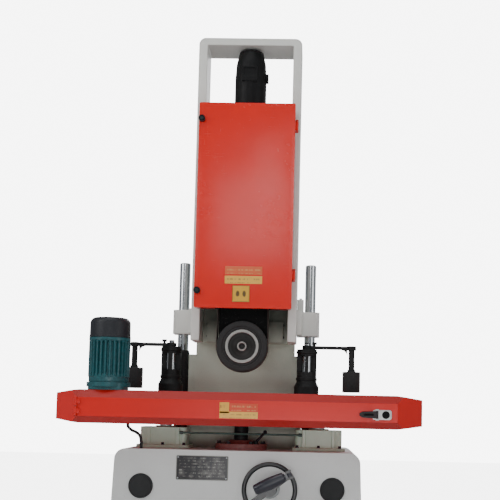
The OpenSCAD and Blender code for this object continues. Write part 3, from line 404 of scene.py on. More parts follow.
# ---------------------------------------------------------------- finishes by slot
WHEEL_CENTRE = (0.0, 1.088)
WHEEL_AXIS = (WHEEL_CENTRE[0], 0.0, WHEEL_CENTRE[1])
FINISHES = {
    "base_paint": enamel("base grey enamel", srgb(206, 207, 205), 0.42, 0.1, 0.3),
    "portal_paint": enamel("portal pale enamel", srgb(226, 226, 220), 0.38, 0.15, 0.25),
    "column_paint": enamel("column grey enamel", srgb(196, 206, 190), 0.4, 0.1, 0.5),
    # Column grey with painted shade below the door, for the head plate and the spindle housing.
    "shade_graded_plate": shade_gradient_enamel("column enamel with painted shade", srgb(196, 206, 190), 1.105, 1.2),
    "support_paint": enamel("support grey enamel", srgb(214, 244, 222), 0.3, 0.3, 0.5),
    "door_red": gloss_door("door red enamel", srgb(226, 26, 4)),
    "casing_red": enamel("casing red enamel", srgb(218, 22, 8), 0.26, 0.2, 0.25),
    "guard_red": enamel("guard red enamel", srgb(190, 26, 10), 0.36, 0.2, 0.4),
    "flange_red": cast_paint("flange dark red paint", srgb(150, 92, 88)),
    "motor_teal": cast_paint("motor teal paint", srgb(16, 84, 90), 0.36),
    "motor_black": moulded("actuator black enamel", srgb(16, 17, 18), 0.42, 300.0, 0.0001, 0.0, 0.2),
    "main_motor_paint": cast_paint("main motor paint", srgb(62, 74, 82)),
    "cap_black": moulded("cap black plastic", srgb(22, 25, 32), 0.42),
    "cast_grey": machined_iron("machined grey iron", srgb(126, 129, 128)),
    "dark_iron": black_oxide("blackened iron", srgb(42, 43, 43)),
    "steel": bright_bar("ground steel", srgb(178, 181, 183), 0.28),
    "chrome": bright_bar("polished column", srgb(205, 208, 210), 0.12),
    "bolt_black": black_oxide("blackened bolts", srgb(52, 53, 54), 0.4),
    "alu": turned_metal("turned hub", srgb(168, 166, 162), 0.3, WHEEL_CENTRE),
    "tyre_rubber": rubber("wheel tyre rubber", srgb(24, 23, 23), 0.6),
    "belt_rubber": belt_weave("feed belt weave", srgb(48, 48, 50)),
    "abrasive": abrasive_cloth("abrasive cloth", srgb(56, 44, 38)),
    "black_rubber": rubber("black rubber", srgb(28, 29, 30)),
    "grip_plastic": moulded("navy grip", srgb(24, 25, 38), 0.26, 260.0, 0.00008, 0.3),
    "wheel_plastic": moulded("black handwheel", srgb(24, 25, 27), 0.3, 320.0, 0.0001, 0.25),
    "bronze": machined_iron("cast bronze", srgb(176, 138, 66), 0.36),
    "plate_metal": printed_plate(
        "data plate", srgb(34, 33, 36), srgb(186, 184, 176), 8, (-0.131, 0.616), (0.099, 0.046)
    ),
    "latch_metal": machined_iron("zinc plated latch", srgb(205, 205, 202), 0.36),
    "latch_dark": black_oxide("latch lever iron", srgb(58, 56, 55), 0.42),
    "hub_dark": turned_metal("turned hub face", srgb(54, 53, 52), 0.36, WHEEL_CENTRE),
    "backing": black_oxide("belt backing iron", srgb(20, 20, 20), 0.55),
    "line_plastic": moulded("nylon tube", srgb(77, 106, 98), 0.35),
    "cable_plastic": rubber("cable sheath", srgb(30, 30, 32), 0.55),
    # Painted shade: a deeper copy of the casing red, for the casing's sloped bands.
    "bevel_shade_red": enamel("bevel red enamel with painted shade", srgb(176, 20, 10), 0.4, 0.1, 0.4),
}

# Degrees between faces from which an edge is shown sharp, and from which it is bevelled
SHARP_FROM = 32.0
BEVEL_FROM = 28.0


# ---------------------------------------------------------------- mesh making
def show(name, points, faces, body, slot):
    """A mesh from points and faces, smooth but for its edges, riding on a body with a finish."""
    mesh = bpy.data.meshes.new(name)
    mesh.from_pydata(np.asarray(points, float).tolist(), [], [list(map(int, f)) for f in faces])
    mesh.validate()
    mesh.shade_smooth()
    mesh.set_sharp_from_angle(angle=math.radians(SHARP_FROM))
    obj = bpy.data.objects.new(name, mesh)
    bpy.context.scene.collection.objects.link(obj)
    mesh.materials.append(FINISHES[slot].material)
    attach(obj, body)
    return obj


def grid_faces(rows, columns, wrap=True):
    """Quads between the points of a rows by columns grid, whose columns may wrap round."""
    i, j = np.meshgrid(np.arange(rows - 1), np.arange(columns if wrap else columns - 1), indexing="ij")
    here, above, beside = i * columns, (i + 1) * columns, (j + 1) % columns
    return np.stack([here + j, here + beside, above + beside, above + j], -1).reshape(-1, 4)


def turned_grid(profile, centre, axis="Z", sides=96, radial=None):
    """Profile of (radius, along) turned about a line through centre: each point goes to
    radius times (cos, sin) of the angle. radial(angle, along) may scale the radius.
    A radius of 0 at an end closes it at a pole."""
    profile = np.array(profile, float)
    angle = np.arange(sides) * TAU / sides
    r = profile[:, :1] * np.ones(sides)
    t = profile[:, 1:] * np.ones(sides)
    if radial is not None:
        r = r * radial(angle[None, :], t)
    c, s = r * np.cos(angle), r * np.sin(angle)
    points = {"Z": (c, s, t), "Y": (c, t, -s)}[axis]
    grid = np.stack(points, -1) + np.array(centre)
    # A pole's ring is one point, so its quads become triangles
    index = np.arange(len(profile) * sides)
    for row in (0, len(profile) - 1):
        if profile[row, 0] == 0:
            index[row * sides : (row + 1) * sides] = row * sides
    corners = [list(dict.fromkeys(f.tolist())) for f in index[grid_faces(len(profile), sides)]]
    return grid.reshape(-1, 3), [f for f in corners if len(f) > 2]


def joined(grids):
    """One set of points and faces from several."""
    points, faces, count = [], [], 0
    for p, f in grids:
        points.append(p)
        faces += [[v + count for v in q] for q in f]
        count += len(p)
    return np.vstack(points), faces


def turned(name, profile, centre, body, slot, axis="Z", sides=96, radial=None):
    """A turned grid as a closed piece."""
    points, faces = turned_grid(profile, centre, axis, sides, radial)
    return close_up(show(name, points, faces, body, slot))


def close_up(obj):
    """Merges doubles, drops loose points and turns every face outwards."""
    work = bmesh.new()
    work.from_mesh(obj.data)
    bmesh.ops.remove_doubles(work, verts=work.verts, dist=1e-6)
    loose = [v for v in work.verts if not v.link_faces]
    bmesh.ops.delete(work, geom=loose, context="VERTS")
    bmesh.ops.recalc_face_normals(work, faces=work.faces)
    work.to_mesh(obj.data)
    work.free()
    return obj


def rounded_rims(r, t0, t1, radius, steps=4):
    """Profile points up the outside of a turned drum, with its two rims rounded."""
    a = np.linspace(-math.pi / 2, 0, steps)
    inner = r - radius
    low = [(inner + radius * math.cos(v), t0 + radius + radius * math.sin(v)) for v in a]
    high = [(inner + radius * math.cos(v), t1 - radius + radius * math.sin(v)) for v in -a[::-1]]
    return low + high


def softened(node, width):
    """A copy of a CAD node with its doubles merged, its flat faces joined and its edges
    rounded by a Bevel, shown in that node's place."""
    mesh = NODES[node].data.copy()
    obj = bpy.data.objects.new(node + "_soft", mesh)
    bpy.context.scene.collection.objects.link(obj)
    work = bmesh.new()
    work.from_mesh(mesh)
    bmesh.ops.remove_doubles(work, verts=work.verts, dist=2e-6)
    flat = math.radians(0.6)
    bmesh.ops.dissolve_limit(work, angle_limit=flat, verts=work.verts, edges=work.edges)
    work.to_mesh(mesh)
    work.free()
    mesh.shade_smooth()
    mesh.set_sharp_from_angle(angle=math.radians(BEVEL_FROM))
    bevel = obj.modifiers.new("edges", "BEVEL")
    bevel.width = width
    bevel.segments = 3
    bevel.limit_method = "ANGLE"
    bevel.angle_limit = math.radians(BEVEL_FROM)
    bevel.harden_normals = True
    bevel.miter_outer = "MITER_ARC"
    bevel.use_clamp_overlap = True
    mesh.materials.clear()
    mesh.materials.append(FINISHES[SLOT_OF[node]].material)
    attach(obj, NODES[node]["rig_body"])
    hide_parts(node)
    return obj


def slab(name, centre, half, corner, thick, body, slot, edge):
    """A thin plate facing -Y: nested rounded rectangles, which rise over a small edge radius
    and then shrink level towards the middle."""
    a = np.linspace(0, math.pi / 2, 10)
    hx, hz = half
    quarter = np.stack([corner * np.cos(a) + hx - corner, corner * np.sin(a) + hz - corner], -1)
    ring = np.concatenate([
        quarter, (quarter * (-1, 1))[::-1], quarter * (-1, -1), (quarter * (1, -1))[::-1]
    ])
    steps = [(1.0, 0.0), (1.0, thick - edge), (1 - 0.3 * edge / hx, thick - 0.3 * edge)]
    steps += [(1 - edge / min(hx, hz), thick)]
    steps += [(s, thick) for s in (0.8, 0.6, 0.4, 0.2, 0.02)]
    n = len(ring)
    rows = [np.column_stack([ring[:, 0] * s, np.full(n, -t), ring[:, 1] * s]) for s, t in steps]
    points = np.concatenate(rows) + np.array(centre)
    faces = [f.tolist() for f in grid_faces(len(rows), n)]
    faces += [list(range(n))[::-1], list(range((len(rows) - 1) * n, len(rows) * n))]
    return close_up(show(name, points, faces, body, slot))


def stick_labels(labels, face, thick, body):
    """Printed films on a face that looks to -Y, one for each key, place and half size."""
    for key, (x, z), half in labels:
        slab(key, (x, face, z), half, 0.002, thick, body, key, 0.0002)


def cap_screws(name, places, radius, height, way):
    """Socket head screws on the head, along Y, as one mesh: a turned head with a chamfer and a
    six-sided recess."""
    sides = 24
    socket, floor = radius * 0.5, height * 0.45
    outer = [(0, 0), (radius, 0), (radius, height * 0.85), (radius * 0.88, height)]
    profile = np.array([*outer, (socket, height), (socket, floor), (0, floor)])
    angle = np.arange(sides) * TAU / sides
    hexagon = 1 / np.cos((angle + math.pi / 6) % (math.pi / 3) - math.pi / 6)
    scale = np.ones((len(profile), sides, 3))
    scale[4:6, :, 0] = scale[4:6, :, 2] = hexagon * 0.92
    screws = []
    for place in places:
        points, faces = turned_grid(profile * (1, way), place, "Y", sides)
        points = (points - np.array(place)) * scale.reshape(-1, 3) + np.array(place)
        screws.append((points, faces))
    return close_up(show(name, *joined(screws), "head", "bolt_black"))


def tube(name, path, radius, body, slot, sides=20, per_piece=8):
    """A round tube: a ring of points square to a smooth curve through the path, closed at its
    ends. Also gives the curve."""
    p = np.array(path, float)
    padded = np.vstack([2 * p[0] - p[1], p, 2 * p[-1] - p[-2]])
    t = np.linspace(0, 1, per_piece, endpoint=False)[:, None]
    line = []
    for a, b, c, d in zip(padded, padded[1:], padded[2:], padded[3:]):
        square, cube = 2 * a - 5 * b + 4 * c - d, 3 * b - a - 3 * c + d
        line.append(0.5 * (2 * b + (c - a) * t + square * t**2 + cube * t**3))
    line = np.vstack([*line, p[-1:]])
    ahead = np.gradient(line, axis=0)
    ahead /= np.linalg.norm(ahead, axis=1, keepdims=True)
    side = np.tile([0.0, 1.0, 0.0], (len(line), 1))
    up = np.cross(ahead, side)
    angle = (np.arange(sides) * TAU / sides)[None, :, None]
    rings = line[:, None] + radius * (np.cos(angle) * side[:, None] + np.sin(angle) * up[:, None])
    faces = [f.tolist() for f in grid_faces(len(line), sides)]
    faces += [list(range(sides))[::-1], list(range((len(line) - 1) * sides, len(line) * sides))]
    return close_up(show(name, rings.reshape(-1, 3), faces, body, slot)), line


# ---------------------------------------------------------------- CAD nodes' own finishes
SLOT_OF = {part["node"]: part["material_slot"] for part in frame["record"]["subparts"]}
SLOT_OF["spindle_housing"] = "column_paint"
for node, obj in NODES.items():
    obj.data.materials.clear()
    obj.data.materials.append(FINISHES[SLOT_OF[node]].material)

# Sheet metal and castings, with the radius of their edges in metres
SOFT_EDGES = {
    "base_housing": 0.005, "base_foot": 0.004, "rear_door": 0.0015, "data_plate": 0.0008,
    "column_body": 0.005, "lift_gearbox": 0.004, "table_supports": 0.0022, "jack_flange": 0.003,
    "table_casing": 0.0016, "front_cover": 0.0016, "feed_gearbox": 0.003, "latch_lever": 0.0012,
    "portal_frame": 0.0055, "head_plate": 0.002, "guide_ears": 0.004,
    "guard_box": 0.0012, "belt_door": 0.0022, "tension_unit": 0.003, "lift_bracket": 0.003,
    "spindle_housing": 0.002, "tension_carriage": 0.002, "main_motor": 0.0012, "arm_left": 0.0015,
    "arm_right": 0.0015, "table_frame": 0.001, "frame_bolts": 0.0006,
    "lantern_posts": 0.0012, "handwheel_bearing": 0.0015, "lock_lever": 0.0008,
}
SOFT = {node: softened(node, width) for node, width in SOFT_EDGES.items()}


# ---------------------------------------------------------------- head
def door_skin():
    """The door's pressed front: a sheet whose middle stands proud of its rim by a crown that
    falls away with the square of the distance sideways and the fourth power up and down."""
    x0, x1, z0, z1 = -0.1915, 0.1915, 1.2365, 2.0595
    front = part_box("belt_door")[0].y + 0.0002
    rim_rise, crown, thick, n = 0.0003, 0.0022, 0.0006, 61
    u, v = np.meshgrid(np.linspace(-1, 1, n), np.linspace(-1, 1, n))
    rise = rim_rise + crown * (1 - u**2) * (1 - v**4)
    x = (x0 + x1) / 2 + (x1 - x0) / 2 * 0.965 * u
    z = (z0 + z1) / 2 + (z1 - z0) / 2 * 0.985 * v
    face = np.stack([x, front - rise + 0.0002, z], -1).reshape(-1, 3)
    back = face.copy()
    back[:, 1] = front + thick
    quads = grid_faces(n, n, wrap=False)
    faces = quads[:, ::-1].tolist() + (quads + n * n).tolist()
    one_side = np.arange(n - 1)
    rim = np.concatenate([
        one_side, one_side * n + n - 1, n * n - 1 - one_side, (n - 1 - one_side) * n
    ])
    after = np.roll(rim, -1)
    faces += np.stack([rim, after, after + n * n, rim + n * n], -1).tolist()
    return close_up(show("door_skin", np.vstack([face, back]), faces, "belt_door", "door_red"))


def door_labels():
    """Print on the door: a thin strip, a yellow bar under it and a yellow warning square."""
    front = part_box("belt_door")[0].y - 0.0021
    thick = 0.0016
    bar, warning, strip = (0.0015, 1.3475), (-0.007, 1.2925), (0.0015, 1.3845)
    bar_half, warning_half = (0.073, 0.0155), (0.034, 0.0325)
    FINISHES["bar_label"] = label_film(
        "bar label", srgb(238, 184, 78), srgb(120, 60, 30), bar, bar_half, 2, 0.55
    )
    FINISHES["warning_label"] = warning_film(
        "warning label", srgb(226, 172, 48), srgb(28, 24, 20), warning, warning_half
    )
    FINISHES["strip_label"] = label_film(
        "strip label", srgb(222, 98, 50), srgb(232, 190, 120), strip, bar_half, 2, 0.5
    )
    labels = (
        ("bar_label", bar, (0.0735, 0.0155)),
        ("warning_label", warning, warning_half),
        ("strip_label", strip, (0.0735, 0.0165)),
    )
    stick_labels(labels, front + thick, thick, "belt_door")


def wheel_tyre():
    """The contact wheel's tyre: a drum with rounded rims and a shallow groove on its face."""
    low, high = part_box("wheel_tyre")
    r_out, r_in = (high.x - low.x) / 2, 0.0701
    y0, y1 = low.y, high.y
    edge, dip = 0.004, y0 + 0.003
    face = [(0.074, y0 + 0.0005), (0.0755, dip), (0.079, dip), (0.0805, y0), (0.0955 - edge, y0)]
    rims = rounded_rims(r_out, y0, y1, edge, 6)
    profile = [(r_in, y1), (r_in, y0 + 0.0015), *face, *rims, (r_in, y1)]
    obj = turned("wheel_tyre_turned", profile, WHEEL_AXIS, "contact_wheel", "tyre_rubber", "Y", 160)
    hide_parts("wheel_tyre")


def wheel_hub():
    """The wheel's hub, turned: a dark face between a bright rim ring and a bright nose ring."""
    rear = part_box("wheel_hub")[1].y
    bore, skirt, outer_r = 0.0139, 0.069, 0.0698
    hollow, front = -0.2, -0.2505
    body = [(0, rear), (bore, rear), (bore, hollow), (skirt, hollow), (outer_r, hollow - 0.001)]
    steps = (
        (outer_r, 0.003), (0.066, 0.0022), (0.055, 0.0045), (0.030, 0.0045), (0.024, 0.001),
        (0.0185, 0.001), (0.012, 0.001), (0.0105, 0.006), (0, 0.006),
    )
    body += [(r, front + deep) for r, deep in steps]
    obj = turned("wheel_hub_turned", body, WHEEL_AXIS, "contact_wheel", "hub_dark", "Y", 128)
    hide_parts("wheel_hub")
    foot, chamfer, across = front + 0.005, 0.0012, 0.0014
    rings = (("hub_rim_ring", 0.0545, 0.0665, 0.0005), ("hub_nose_ring", 0.0125, 0.0185, -0.0005))
    for name, inner, outer, rise in rings:
        top = front + rise
        profile = [(inner, foot), (inner, top + chamfer), (inner + across, top)]
        profile += [(outer - across, top), (outer, top + chamfer), (outer, foot), (inner, foot)]
        turned(name, profile, WHEEL_AXIS, "contact_wheel", "alu", "Y", 128)


def darken_backing():
    """The guard's backing plate, below the box, is bare black iron: faces under the box's floor."""
    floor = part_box("belt_door")[0].z + 0.0035
    mesh = SOFT["guard_box"].data
    mesh.materials.append(FINISHES["backing"].material)
    centres = np.zeros(len(mesh.polygons) * 3)
    mesh.polygons.foreach_get("center", centres)
    under = centres.reshape(-1, 3)[:, 2] < floor
    mesh.polygons.foreach_set("material_index", under.astype(np.int32))


def shade_bevels():
    """The casing's sloped bands, above and below its front face, in a deeper red: painted shade for
    the light these bands turn away from.
    """
    for node in ("table_casing", "front_cover"):
        mesh = SOFT[node].data
        mesh.materials.append(FINISHES["bevel_shade_red"].material)
        normals = np.zeros(len(mesh.polygons) * 3)
        mesh.polygons.foreach_get("normal", normals)
        normals = normals.reshape(-1, 3)
        # Painted shade on the faces that slope up or down towards the front.
        sloped = (np.abs(normals[:, 2]) > 0.25) & (normals[:, 1] < -0.25)
        mesh.polygons.foreach_set("material_index", sloped.astype(np.int32))


def shade_head_plate():
    """The head plate and the spindle housing behind the wheel, with painted shade that deepens towards
    the belt's guard.
    """
    for node in ("head_plate", "spindle_housing"):
        # Painted shade: both pieces take the column grey that darkens below the door.
        SOFT[node].data.materials[0] = FINISHES["shade_graded_plate"].material


def head_details():
    """Screws through the head plate, front and rear, and the door's two scalloped knobs."""
    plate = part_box("head_plate")
    front, back = plate[0].y, plate[1].y
    radius, height = 0.006, 0.005
    sides = [(x, front, z) for x in (-0.155, 0.155) for z in (1.14, 1.19)]
    cap_screws("plate_screws", sides, radius, height, -1)
    rear = [(x, back, z) for x in (-0.15, 0.15) for z in (1.2, 1.4, 1.6, 1.8, 2.0)]
    cap_screws("plate_rear_screws", rear, radius, height, 1)
    for key, node in (("upper", "door_knob_upper"), ("lower", "door_knob_lower")):
        low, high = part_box(node)
        centre = ((low.x + high.x) / 2, 0, (low.z + high.z) / 2)
        r, neck = 0.013, 0.011
        y0, y1 = low.y, low.y + 0.0157
        profile = [(0, y1), (neck, y1), (neck + 0.0002, y1 - 0.003), (r - 0.0008, y1 - 0.0034)]
        profile += [(r, y1 - 0.0042), (r, y0 + 0.0015), (r - 0.0015, y0), (0.008, y0)]
        profile += [(0.0072, y0 + 0.0008), (0, y0 + 0.0008)]

        def scallop(angle, t):
            """Twelve shallow hollows round the grip, ahead of the neck."""
            return 1 - 0.05 * (0.5 + 0.5 * np.cos(angle * 12)) * (t < y1 - 0.004)

        name = f"knob_{key}_knurled"
        turned(name, profile, centre, f"knob_{key}", "cap_black", "Y", 96, scallop)


# ---------------------------------------------------------------- table
MOTOR_CENTRE = (-0.501, -0.345)


def finned_motor():
    """The feed motor's body: a drum whose radius rises and falls with the angle as soft fins,
    between a smooth foot and a smooth head ring."""
    low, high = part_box("feed_motor")
    z0, z1 = low.z, high.z
    fins, root, r, ring = 28, 0.0115, 0.0785, 0.079
    neck = r - 0.0012

    def radial(angle, t):
        """1 on a fin's crest and beyond the fins' ends, less the root's share between fins."""
        crest = np.clip(0.5 + 1.7 * np.cos(angle * fins), 0, 1) ** 1.2
        ends = np.clip((t - z0 - 0.02) / 0.012, 0, 1) * np.clip((z1 - 0.013 - t) / 0.004, 0, 1)
        return 1 - (1 - crest) * root / r * ends

    along = [z0 + 0.0215, *np.linspace(z0 + 0.026, z1 - 0.02, 26), z1 - 0.0155, z1 - 0.0135]
    profile = [(0, z0), (0.073, z0), (0.0755, z0 + 0.0015), (0.076, z0 + 0.018), (0.077, z0 + 0.0205)]
    profile += [(r, t) for t in along]
    profile += [(neck, z1 - 0.0125), (neck, z1 - 0.0115), (ring, z1 - 0.0105), (ring, z1 - 0.001)]
    profile += [(0.078, z1), (0, z1)]
    centre, sides = (*MOTOR_CENTRE, 0), fins * 14
    obj = turned("feed_motor_finned", profile, centre, "table", "motor_teal", "Z", sides, radial)
    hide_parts("feed_motor")


def motor_cap():
    """The fan cover: a drawn cap with a rounded shoulder and slots pressed in rings on its top."""
    low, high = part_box("feed_motor_cap")
    z0, z1 = low.z, high.z
    r, shoulder, dip = 0.079, 0.022, z1 - 0.003
    profile = [(0, z0 + 0.0002), (r - 0.002, z0 + 0.0002), (r, z0 + 0.0012), (r, z0 + 0.006)]
    profile += [(r - 0.0012, z0 + 0.0075)]
    for v in np.linspace(0, math.pi / 2, 10):
        out, up = shoulder * math.cos(v), shoulder * math.sin(v)
        profile += [(r - 0.002 - shoulder + out, z1 - shoulder + up)]
    for ring in (0.048, 0.040, 0.032, 0.024, 0.016):
        profile += [(ring, z1), (ring - 0.0006, dip), (ring - 0.0034, dip), (ring - 0.004, z1)]
    profile += [(0, z1)]
    obj = turned("feed_motor_fan_cover", profile, (*MOTOR_CENTRE, 0), "table", "cap_black", "Z", 120)
    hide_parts("feed_motor_cap")


def latch():
    """The cover's latch: a bright plate with a thin black disc on it as painted shade for a round
    recess, two lugs with the lever's pin between them, and a thin black strip on the lever as painted
    shade for its slot."""
    low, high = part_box("latch_plate")
    face, z = high.y - 0.0002, (low.z + high.z) / 2
    on, bright, black = "front_cover", "latch_metal", "backing"
    place = (0.5405, face, z)
    plate = slab("latch_plate_bright", place, (0.0355, 0.0185), 0.009, 0.0038, on, bright, 0.001)
    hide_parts("latch_plate")
    # Painted shade: a thin black disc on the plate's face stands for the shade inside a round recess.
    place = (0.5545, face - 0.0037, z)
    slab("latch_recess_painted_shade", place, (0.0145, 0.0145), 0.0144, 0.0006, on, black, 0.0002)
    pin_x, pin_y, pin_r, pin_half = 0.522, -0.449, 0.0024, 0.0195
    for key, rise in (("low", -0.018), ("high", 0.018)):
        place = (pin_x, face - 0.003, z + rise)
        slab(f"latch_lug_{key}", place, (0.006, 0.003), 0.001, 0.0098, on, bright, 0.0008)
    profile = [(0, z - pin_half), (pin_r, z - pin_half), (pin_r, z + pin_half), (0, z + pin_half)]
    turned("latch_pin", profile, (pin_x, pin_y, 0), on, "steel", "Z", 24)
    # Painted shade: a thin black strip on the lever stands for the shade inside its slot.
    place = (0.4905, -0.4488, z)
    slab("latch_lever_slot_painted_shade", place, (0.0185, 0.0038), 0.0035, 0.0006, "latch_lever", black, 0.0002)
    SOFT["latch_lever"].data.materials[0] = FINISHES["latch_dark"].material


def label_on_casing():
    """The front cover's three-part label: a square, a title beside it and a bar along the foot."""
    flat, rise, thick = -0.4402, 0.0008, 0.0014
    square, bar = (-0.045, 0.845), (0.0085, 0.8185)
    FINISHES["square_label"] = label_film(
        "square label", srgb(236, 176, 70), srgb(130, 60, 30), square, (0.018, 0.022), 1.5, 0.6
    )
    FINISHES["long_label"] = label_film(
        "long label", srgb(236, 182, 84), srgb(150, 80, 40), bar, (0.0715, 0.0135), 2, 0.5
    )
    FINISHES["title_label"] = label_film(
        "title label", srgb(214, 74, 40), srgb(226, 180, 120), (0.0255, 0.848), (0.052, 0.016), 2, 0.5
    )
    labels = (
        ("square_label", square, (0.018, 0.020)),
        ("long_label", bar, (0.0715, 0.0125)),
        ("title_label", (0.0275, 0.8475), (0.0525, 0.0145)),
    )
    stick_labels(labels, flat + rise, thick, "front_cover")


def table_details():
    """The turned rollers, each post's cap and two rings, and the web under each arm."""
    bore, hub, lip = 0.0071, 0.020, 0.022
    cap_r, cap_z = 0.0105, 0.0055
    outer, middle, inner = 0.0428, 0.0405, 0.0402
    collar_z, collar_h, ring_rise = 0.962, 0.0115, 0.108
    for side, way in (("left", 1), ("right", -1)):
        low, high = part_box(f"guide_roller_{side}")
        x, y = (low.x + high.x) / 2, (low.y + high.y) / 2
        r = (high.x - low.x) / 2
        z0, z1 = low.z, high.z
        rims = rounded_rims(r, z0, z1, 0.003)
        profile = [(bore, z0 + 0.004), (hub, z0 + 0.004), (lip, z0), *rims, (lip, z1)]
        profile += [(hub, z1 - 0.003), (0.0075, z1 - 0.003), (bore, z0 + 0.004)]
        name = f"roller_{side}_turned"
        obj = turned(name, profile, (x, y, 0), f"roller_{side}", "black_rubber", "Z", 128)
        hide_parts(f"guide_roller_{side}")
        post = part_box("post_rod_" + side)
        px, top = (post[0].x + post[1].x) / 2, post[1].z
        profile = [(0, top), (cap_r, top), (cap_r, top + 0.004), (0.0085, top + cap_z)]
        profile += [(0, top + cap_z)]
        turned(f"post_cap_{side}", profile, (px, y, 0), f"post_rod_{side}", "bolt_black", "Z", 6)
        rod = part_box(f"roller_rod_{side}")
        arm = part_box(f"arm_{side}")
        corner = ((rod[0].x + rod[1].x) / 2, y, arm[0].z + 0.002)
        gusset(f"arm_gusset_{side}", corner, way, f"arm_{side}")
        for key, z in (("collar", collar_z), ("ring", collar_z + ring_rise)):
            end = z + collar_h
            profile = [(middle, z), (outer, z + 0.0015), (outer, end - 0.0015), (middle, end)]
            profile += [(inner, end), (inner, z), (middle, z)]
            turned(f"post_{key}_{side}", profile, (px, y, 0), "table", "dark_iron", "Z", 96)


def gusset(name, corner, way, body):
    """A small web in the corner under an arm, beside its hanging rod: a quarter-hollow triangle."""
    x, y, z = corner
    reach, drop, half, start = 0.03, 0.026, 0.003, 0.0181
    a = np.linspace(0, math.pi / 2, 9)
    curve = np.stack([start + reach * (1 - np.sin(a)), -drop * (1 - np.cos(a))], -1)
    outline = np.vstack([[[start, 0.0]], curve])
    n = len(outline)
    points = [(x + way * u, y + s * half, z + v) for s in (-1, 1) for u, v in outline]
    faces = [list(range(n)), [k + n for k in range(n)][::-1]]
    faces += [[k, (k + 1) % n, (k + 1) % n + n, k + n] for k in range(n)]
    return close_up(show(name, points, faces, body, "dark_iron"))


def feed_cable():
    """The feed motor's cable: down from the casing's underside and in through the base's top."""
    route_mm = [
        (-430, -300, 777), (-427, -300, 764), (-414, -300, 752), (-396, -300, 744), (-382, -300, 732),
        (-376, -300, 712), (-375, -300, 680), (-375, -300, 620), (-375, -300, 560), (-375, -300, 520),
    ]
    route = np.array(route_mm) / 1000
    obj, line = tube("feed_cable_run", route, 0.006, "table", "cable_plastic")
    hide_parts("feed_cable")


# ---------------------------------------------------------------- base
def hole_plugs():
    """Rubber plugs in the base's front: a domed cap with a rolled lip."""
    low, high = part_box("hole_covers")
    z = (low.z + high.z) / 2
    r = (high.z - low.z) / 2
    x = high.x - r
    y0, y1 = low.y, high.y
    neck, shoulder, bulge = r * 0.9, y1 - 0.008, 0.004
    dome = [(r * s, y0 + 0.0005 - bulge * (1 - s * s)) for s in (0.0, 0.2, 0.4, 0.6, 0.75, 0.84)]
    lip = [(r * 0.88, y0 + 0.0015), (r * 0.92, y0 - 0.001), (r * 0.97, y0 - 0.0005), (r, y0 + 0.002)]
    profile = dome + lip + [(r, shoulder), (neck, shoulder), (neck, y1), (0, y1)]
    plugs = joined([turned_grid(profile, (s * x, 0, z), "Y", 96) for s in (-1, 1)])
    obj = close_up(show("hole_plugs_domed", *plugs, "base", "black_rubber"))
    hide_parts("hole_covers")


def plate_rivets():
    """Four domed rivets, one in each corner of the data plate."""
    low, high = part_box("data_plate")
    inset = 0.007
    columns, levels = (low.x + inset, high.x - inset), (low.z + inset, high.z - inset)
    dome = [(0, 0.001), (0.0028, 0.001), (0.0026, -0.0007), (0.0017, -0.0014), (0, -0.0017)]
    rivets = joined([turned_grid(dome, (x, low.y, z), "Y", 16) for x in columns for z in levels])
    close_up(show("plate_rivets", *rivets, "base", "steel"))


door_skin()
door_labels()
wheel_tyre()
wheel_hub()
darken_backing()
shade_bevels()
shade_head_plate()
head_details()
finned_motor()
motor_cap()
label_on_casing()
latch()
table_details()
feed_cable()
hole_plugs()
plate_rivets()


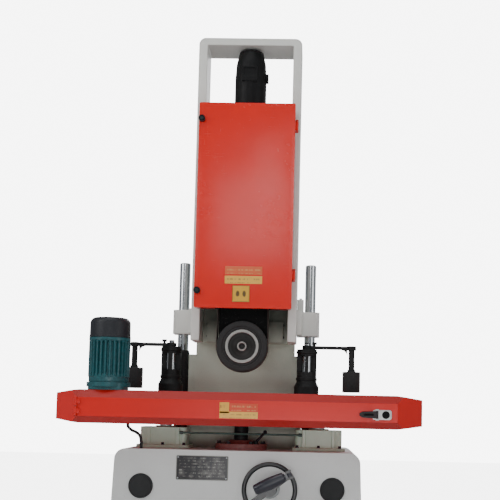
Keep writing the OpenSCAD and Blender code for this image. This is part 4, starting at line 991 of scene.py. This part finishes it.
# ---------------------------------------------------------------- stage, lights and camera
def stage():
    """A pale floor, a pale surround and the nodes that show both to the camera near white."""
    half, backdrop_strength = 14.0, 9.0
    corners = [(-half, -half, 0), (half, -half, 0), (half, half, 0), (-half, half, 0)]
    mesh = bpy.data.meshes.new("floor")
    mesh.from_pydata(corners, [], [(0, 1, 2, 3)])
    floor = bpy.data.objects.new("floor", mesh)
    bpy.context.scene.collection.objects.link(floor)
    f = Finish("pale floor", 0.75)
    f.set("Base Color", (0.82, 0.82, 0.82, 1))
    glow = f.tree.nodes.new("ShaderNodeEmission")
    glow.inputs["Strength"].default_value = backdrop_strength
    seen = f.node("LightPath") * 0.62
    blend = f.tree.nodes.new("ShaderNodeMixShader")
    f.join(seen, blend.inputs[0])
    f.tree.links.new(f.shader.outputs[0], blend.inputs[1])
    f.tree.links.new(glow.outputs[0], blend.inputs[2])
    f.tree.links.new(blend.outputs[0], f.tree.nodes["Material Output"].inputs[0])
    mesh.materials.append(f.material)
    world = bpy.data.worlds.new("surround")
    world.use_nodes = True
    tree = world.node_tree
    soft = tree.nodes["Background"]
    soft.inputs["Color"].default_value = (0.93, 0.96, 1.0, 1)
    soft.inputs["Strength"].default_value = 0.3
    backdrop = tree.nodes.new("ShaderNodeBackground")
    backdrop.inputs["Strength"].default_value = backdrop_strength
    path = tree.nodes.new("ShaderNodeLightPath")
    choose = tree.nodes.new("ShaderNodeMixShader")
    tree.links.new(path.outputs["Is Camera Ray"], choose.inputs[0])
    tree.links.new(soft.outputs[0], choose.inputs[1])
    tree.links.new(backdrop.outputs[0], choose.inputs[2])
    tree.links.new(choose.outputs[0], tree.nodes["World Output"].inputs[0])
    bpy.context.scene.world = world


def light(name, place, target, width, height, power):
    """A rectangular lamp at a place, turned to face a target."""
    data = bpy.data.lights.new(name, "AREA")
    data.shape = "RECTANGLE"
    data.size, data.size_y = width, height
    data.energy = power
    lamp = bpy.data.objects.new(name, data)
    bpy.context.scene.collection.objects.link(lamp)
    lamp.location = place
    lamp.rotation_euler = (Vector(target) - Vector(place)).to_track_quat("-Z", "Y").to_euler()


def camera():
    """Stands low in front, a little to the right, tipped up and rolled a little."""
    place = Vector((0.2769, -4.0676, 0.8307))
    yaw, pitch, roll = -0.0256, 0.0849, 0.0224
    level = math.cos(pitch)
    ahead = Vector((math.sin(yaw) * level, math.cos(yaw) * level, math.sin(pitch)))
    flat_right = Vector((math.cos(yaw), -math.sin(yaw), 0))
    flat_up = flat_right.cross(ahead)
    right = flat_right * math.cos(roll) + flat_up * math.sin(roll)
    up = flat_up * math.cos(roll) - flat_right * math.sin(roll)
    data = bpy.data.cameras.new("camera")
    data.lens = 70.17
    data.sensor_width = 36
    data.shift_x, data.shift_y = -0.0754, 0.16
    cam = bpy.data.objects.new("camera", data)
    bpy.context.scene.collection.objects.link(cam)
    turn = Matrix((right, up, -ahead)).transposed()
    cam.matrix_world = Matrix.Translation(place) @ turn.to_4x4()
    bpy.context.scene.camera = cam


stage()
light("door highlight", (-0.2, -4.3, 2.4), (-0.05, 0, 1.65), 0.95, 0.68, 8.5)
light("door highlight high", (0.0, -4.3, 2.86), (0.1, 0, 1.8), 0.34, 0.5, 2.2)
light("left window", (-3.4, -2.8, 2.8), (0, -0.2, 1.0), 1.8, 2.4, 56)
light("right fill", (3.4, -2.4, 2.2), (0, -0.2, 1.0), 1.6, 2.2, 26)
light("under fill", (0.3, -3.6, 0.35), (0, -0.2, 0.72), 1.6, 0.4, 15)
light("top", (-0.4, -1.6, 4.6), (0, -0.2, 0.8), 2.8, 2.0, 44)
light("rear", (1.0, 3.4, 2.6), (0, 0, 1.2), 2.2, 2.2, 40)
camera()
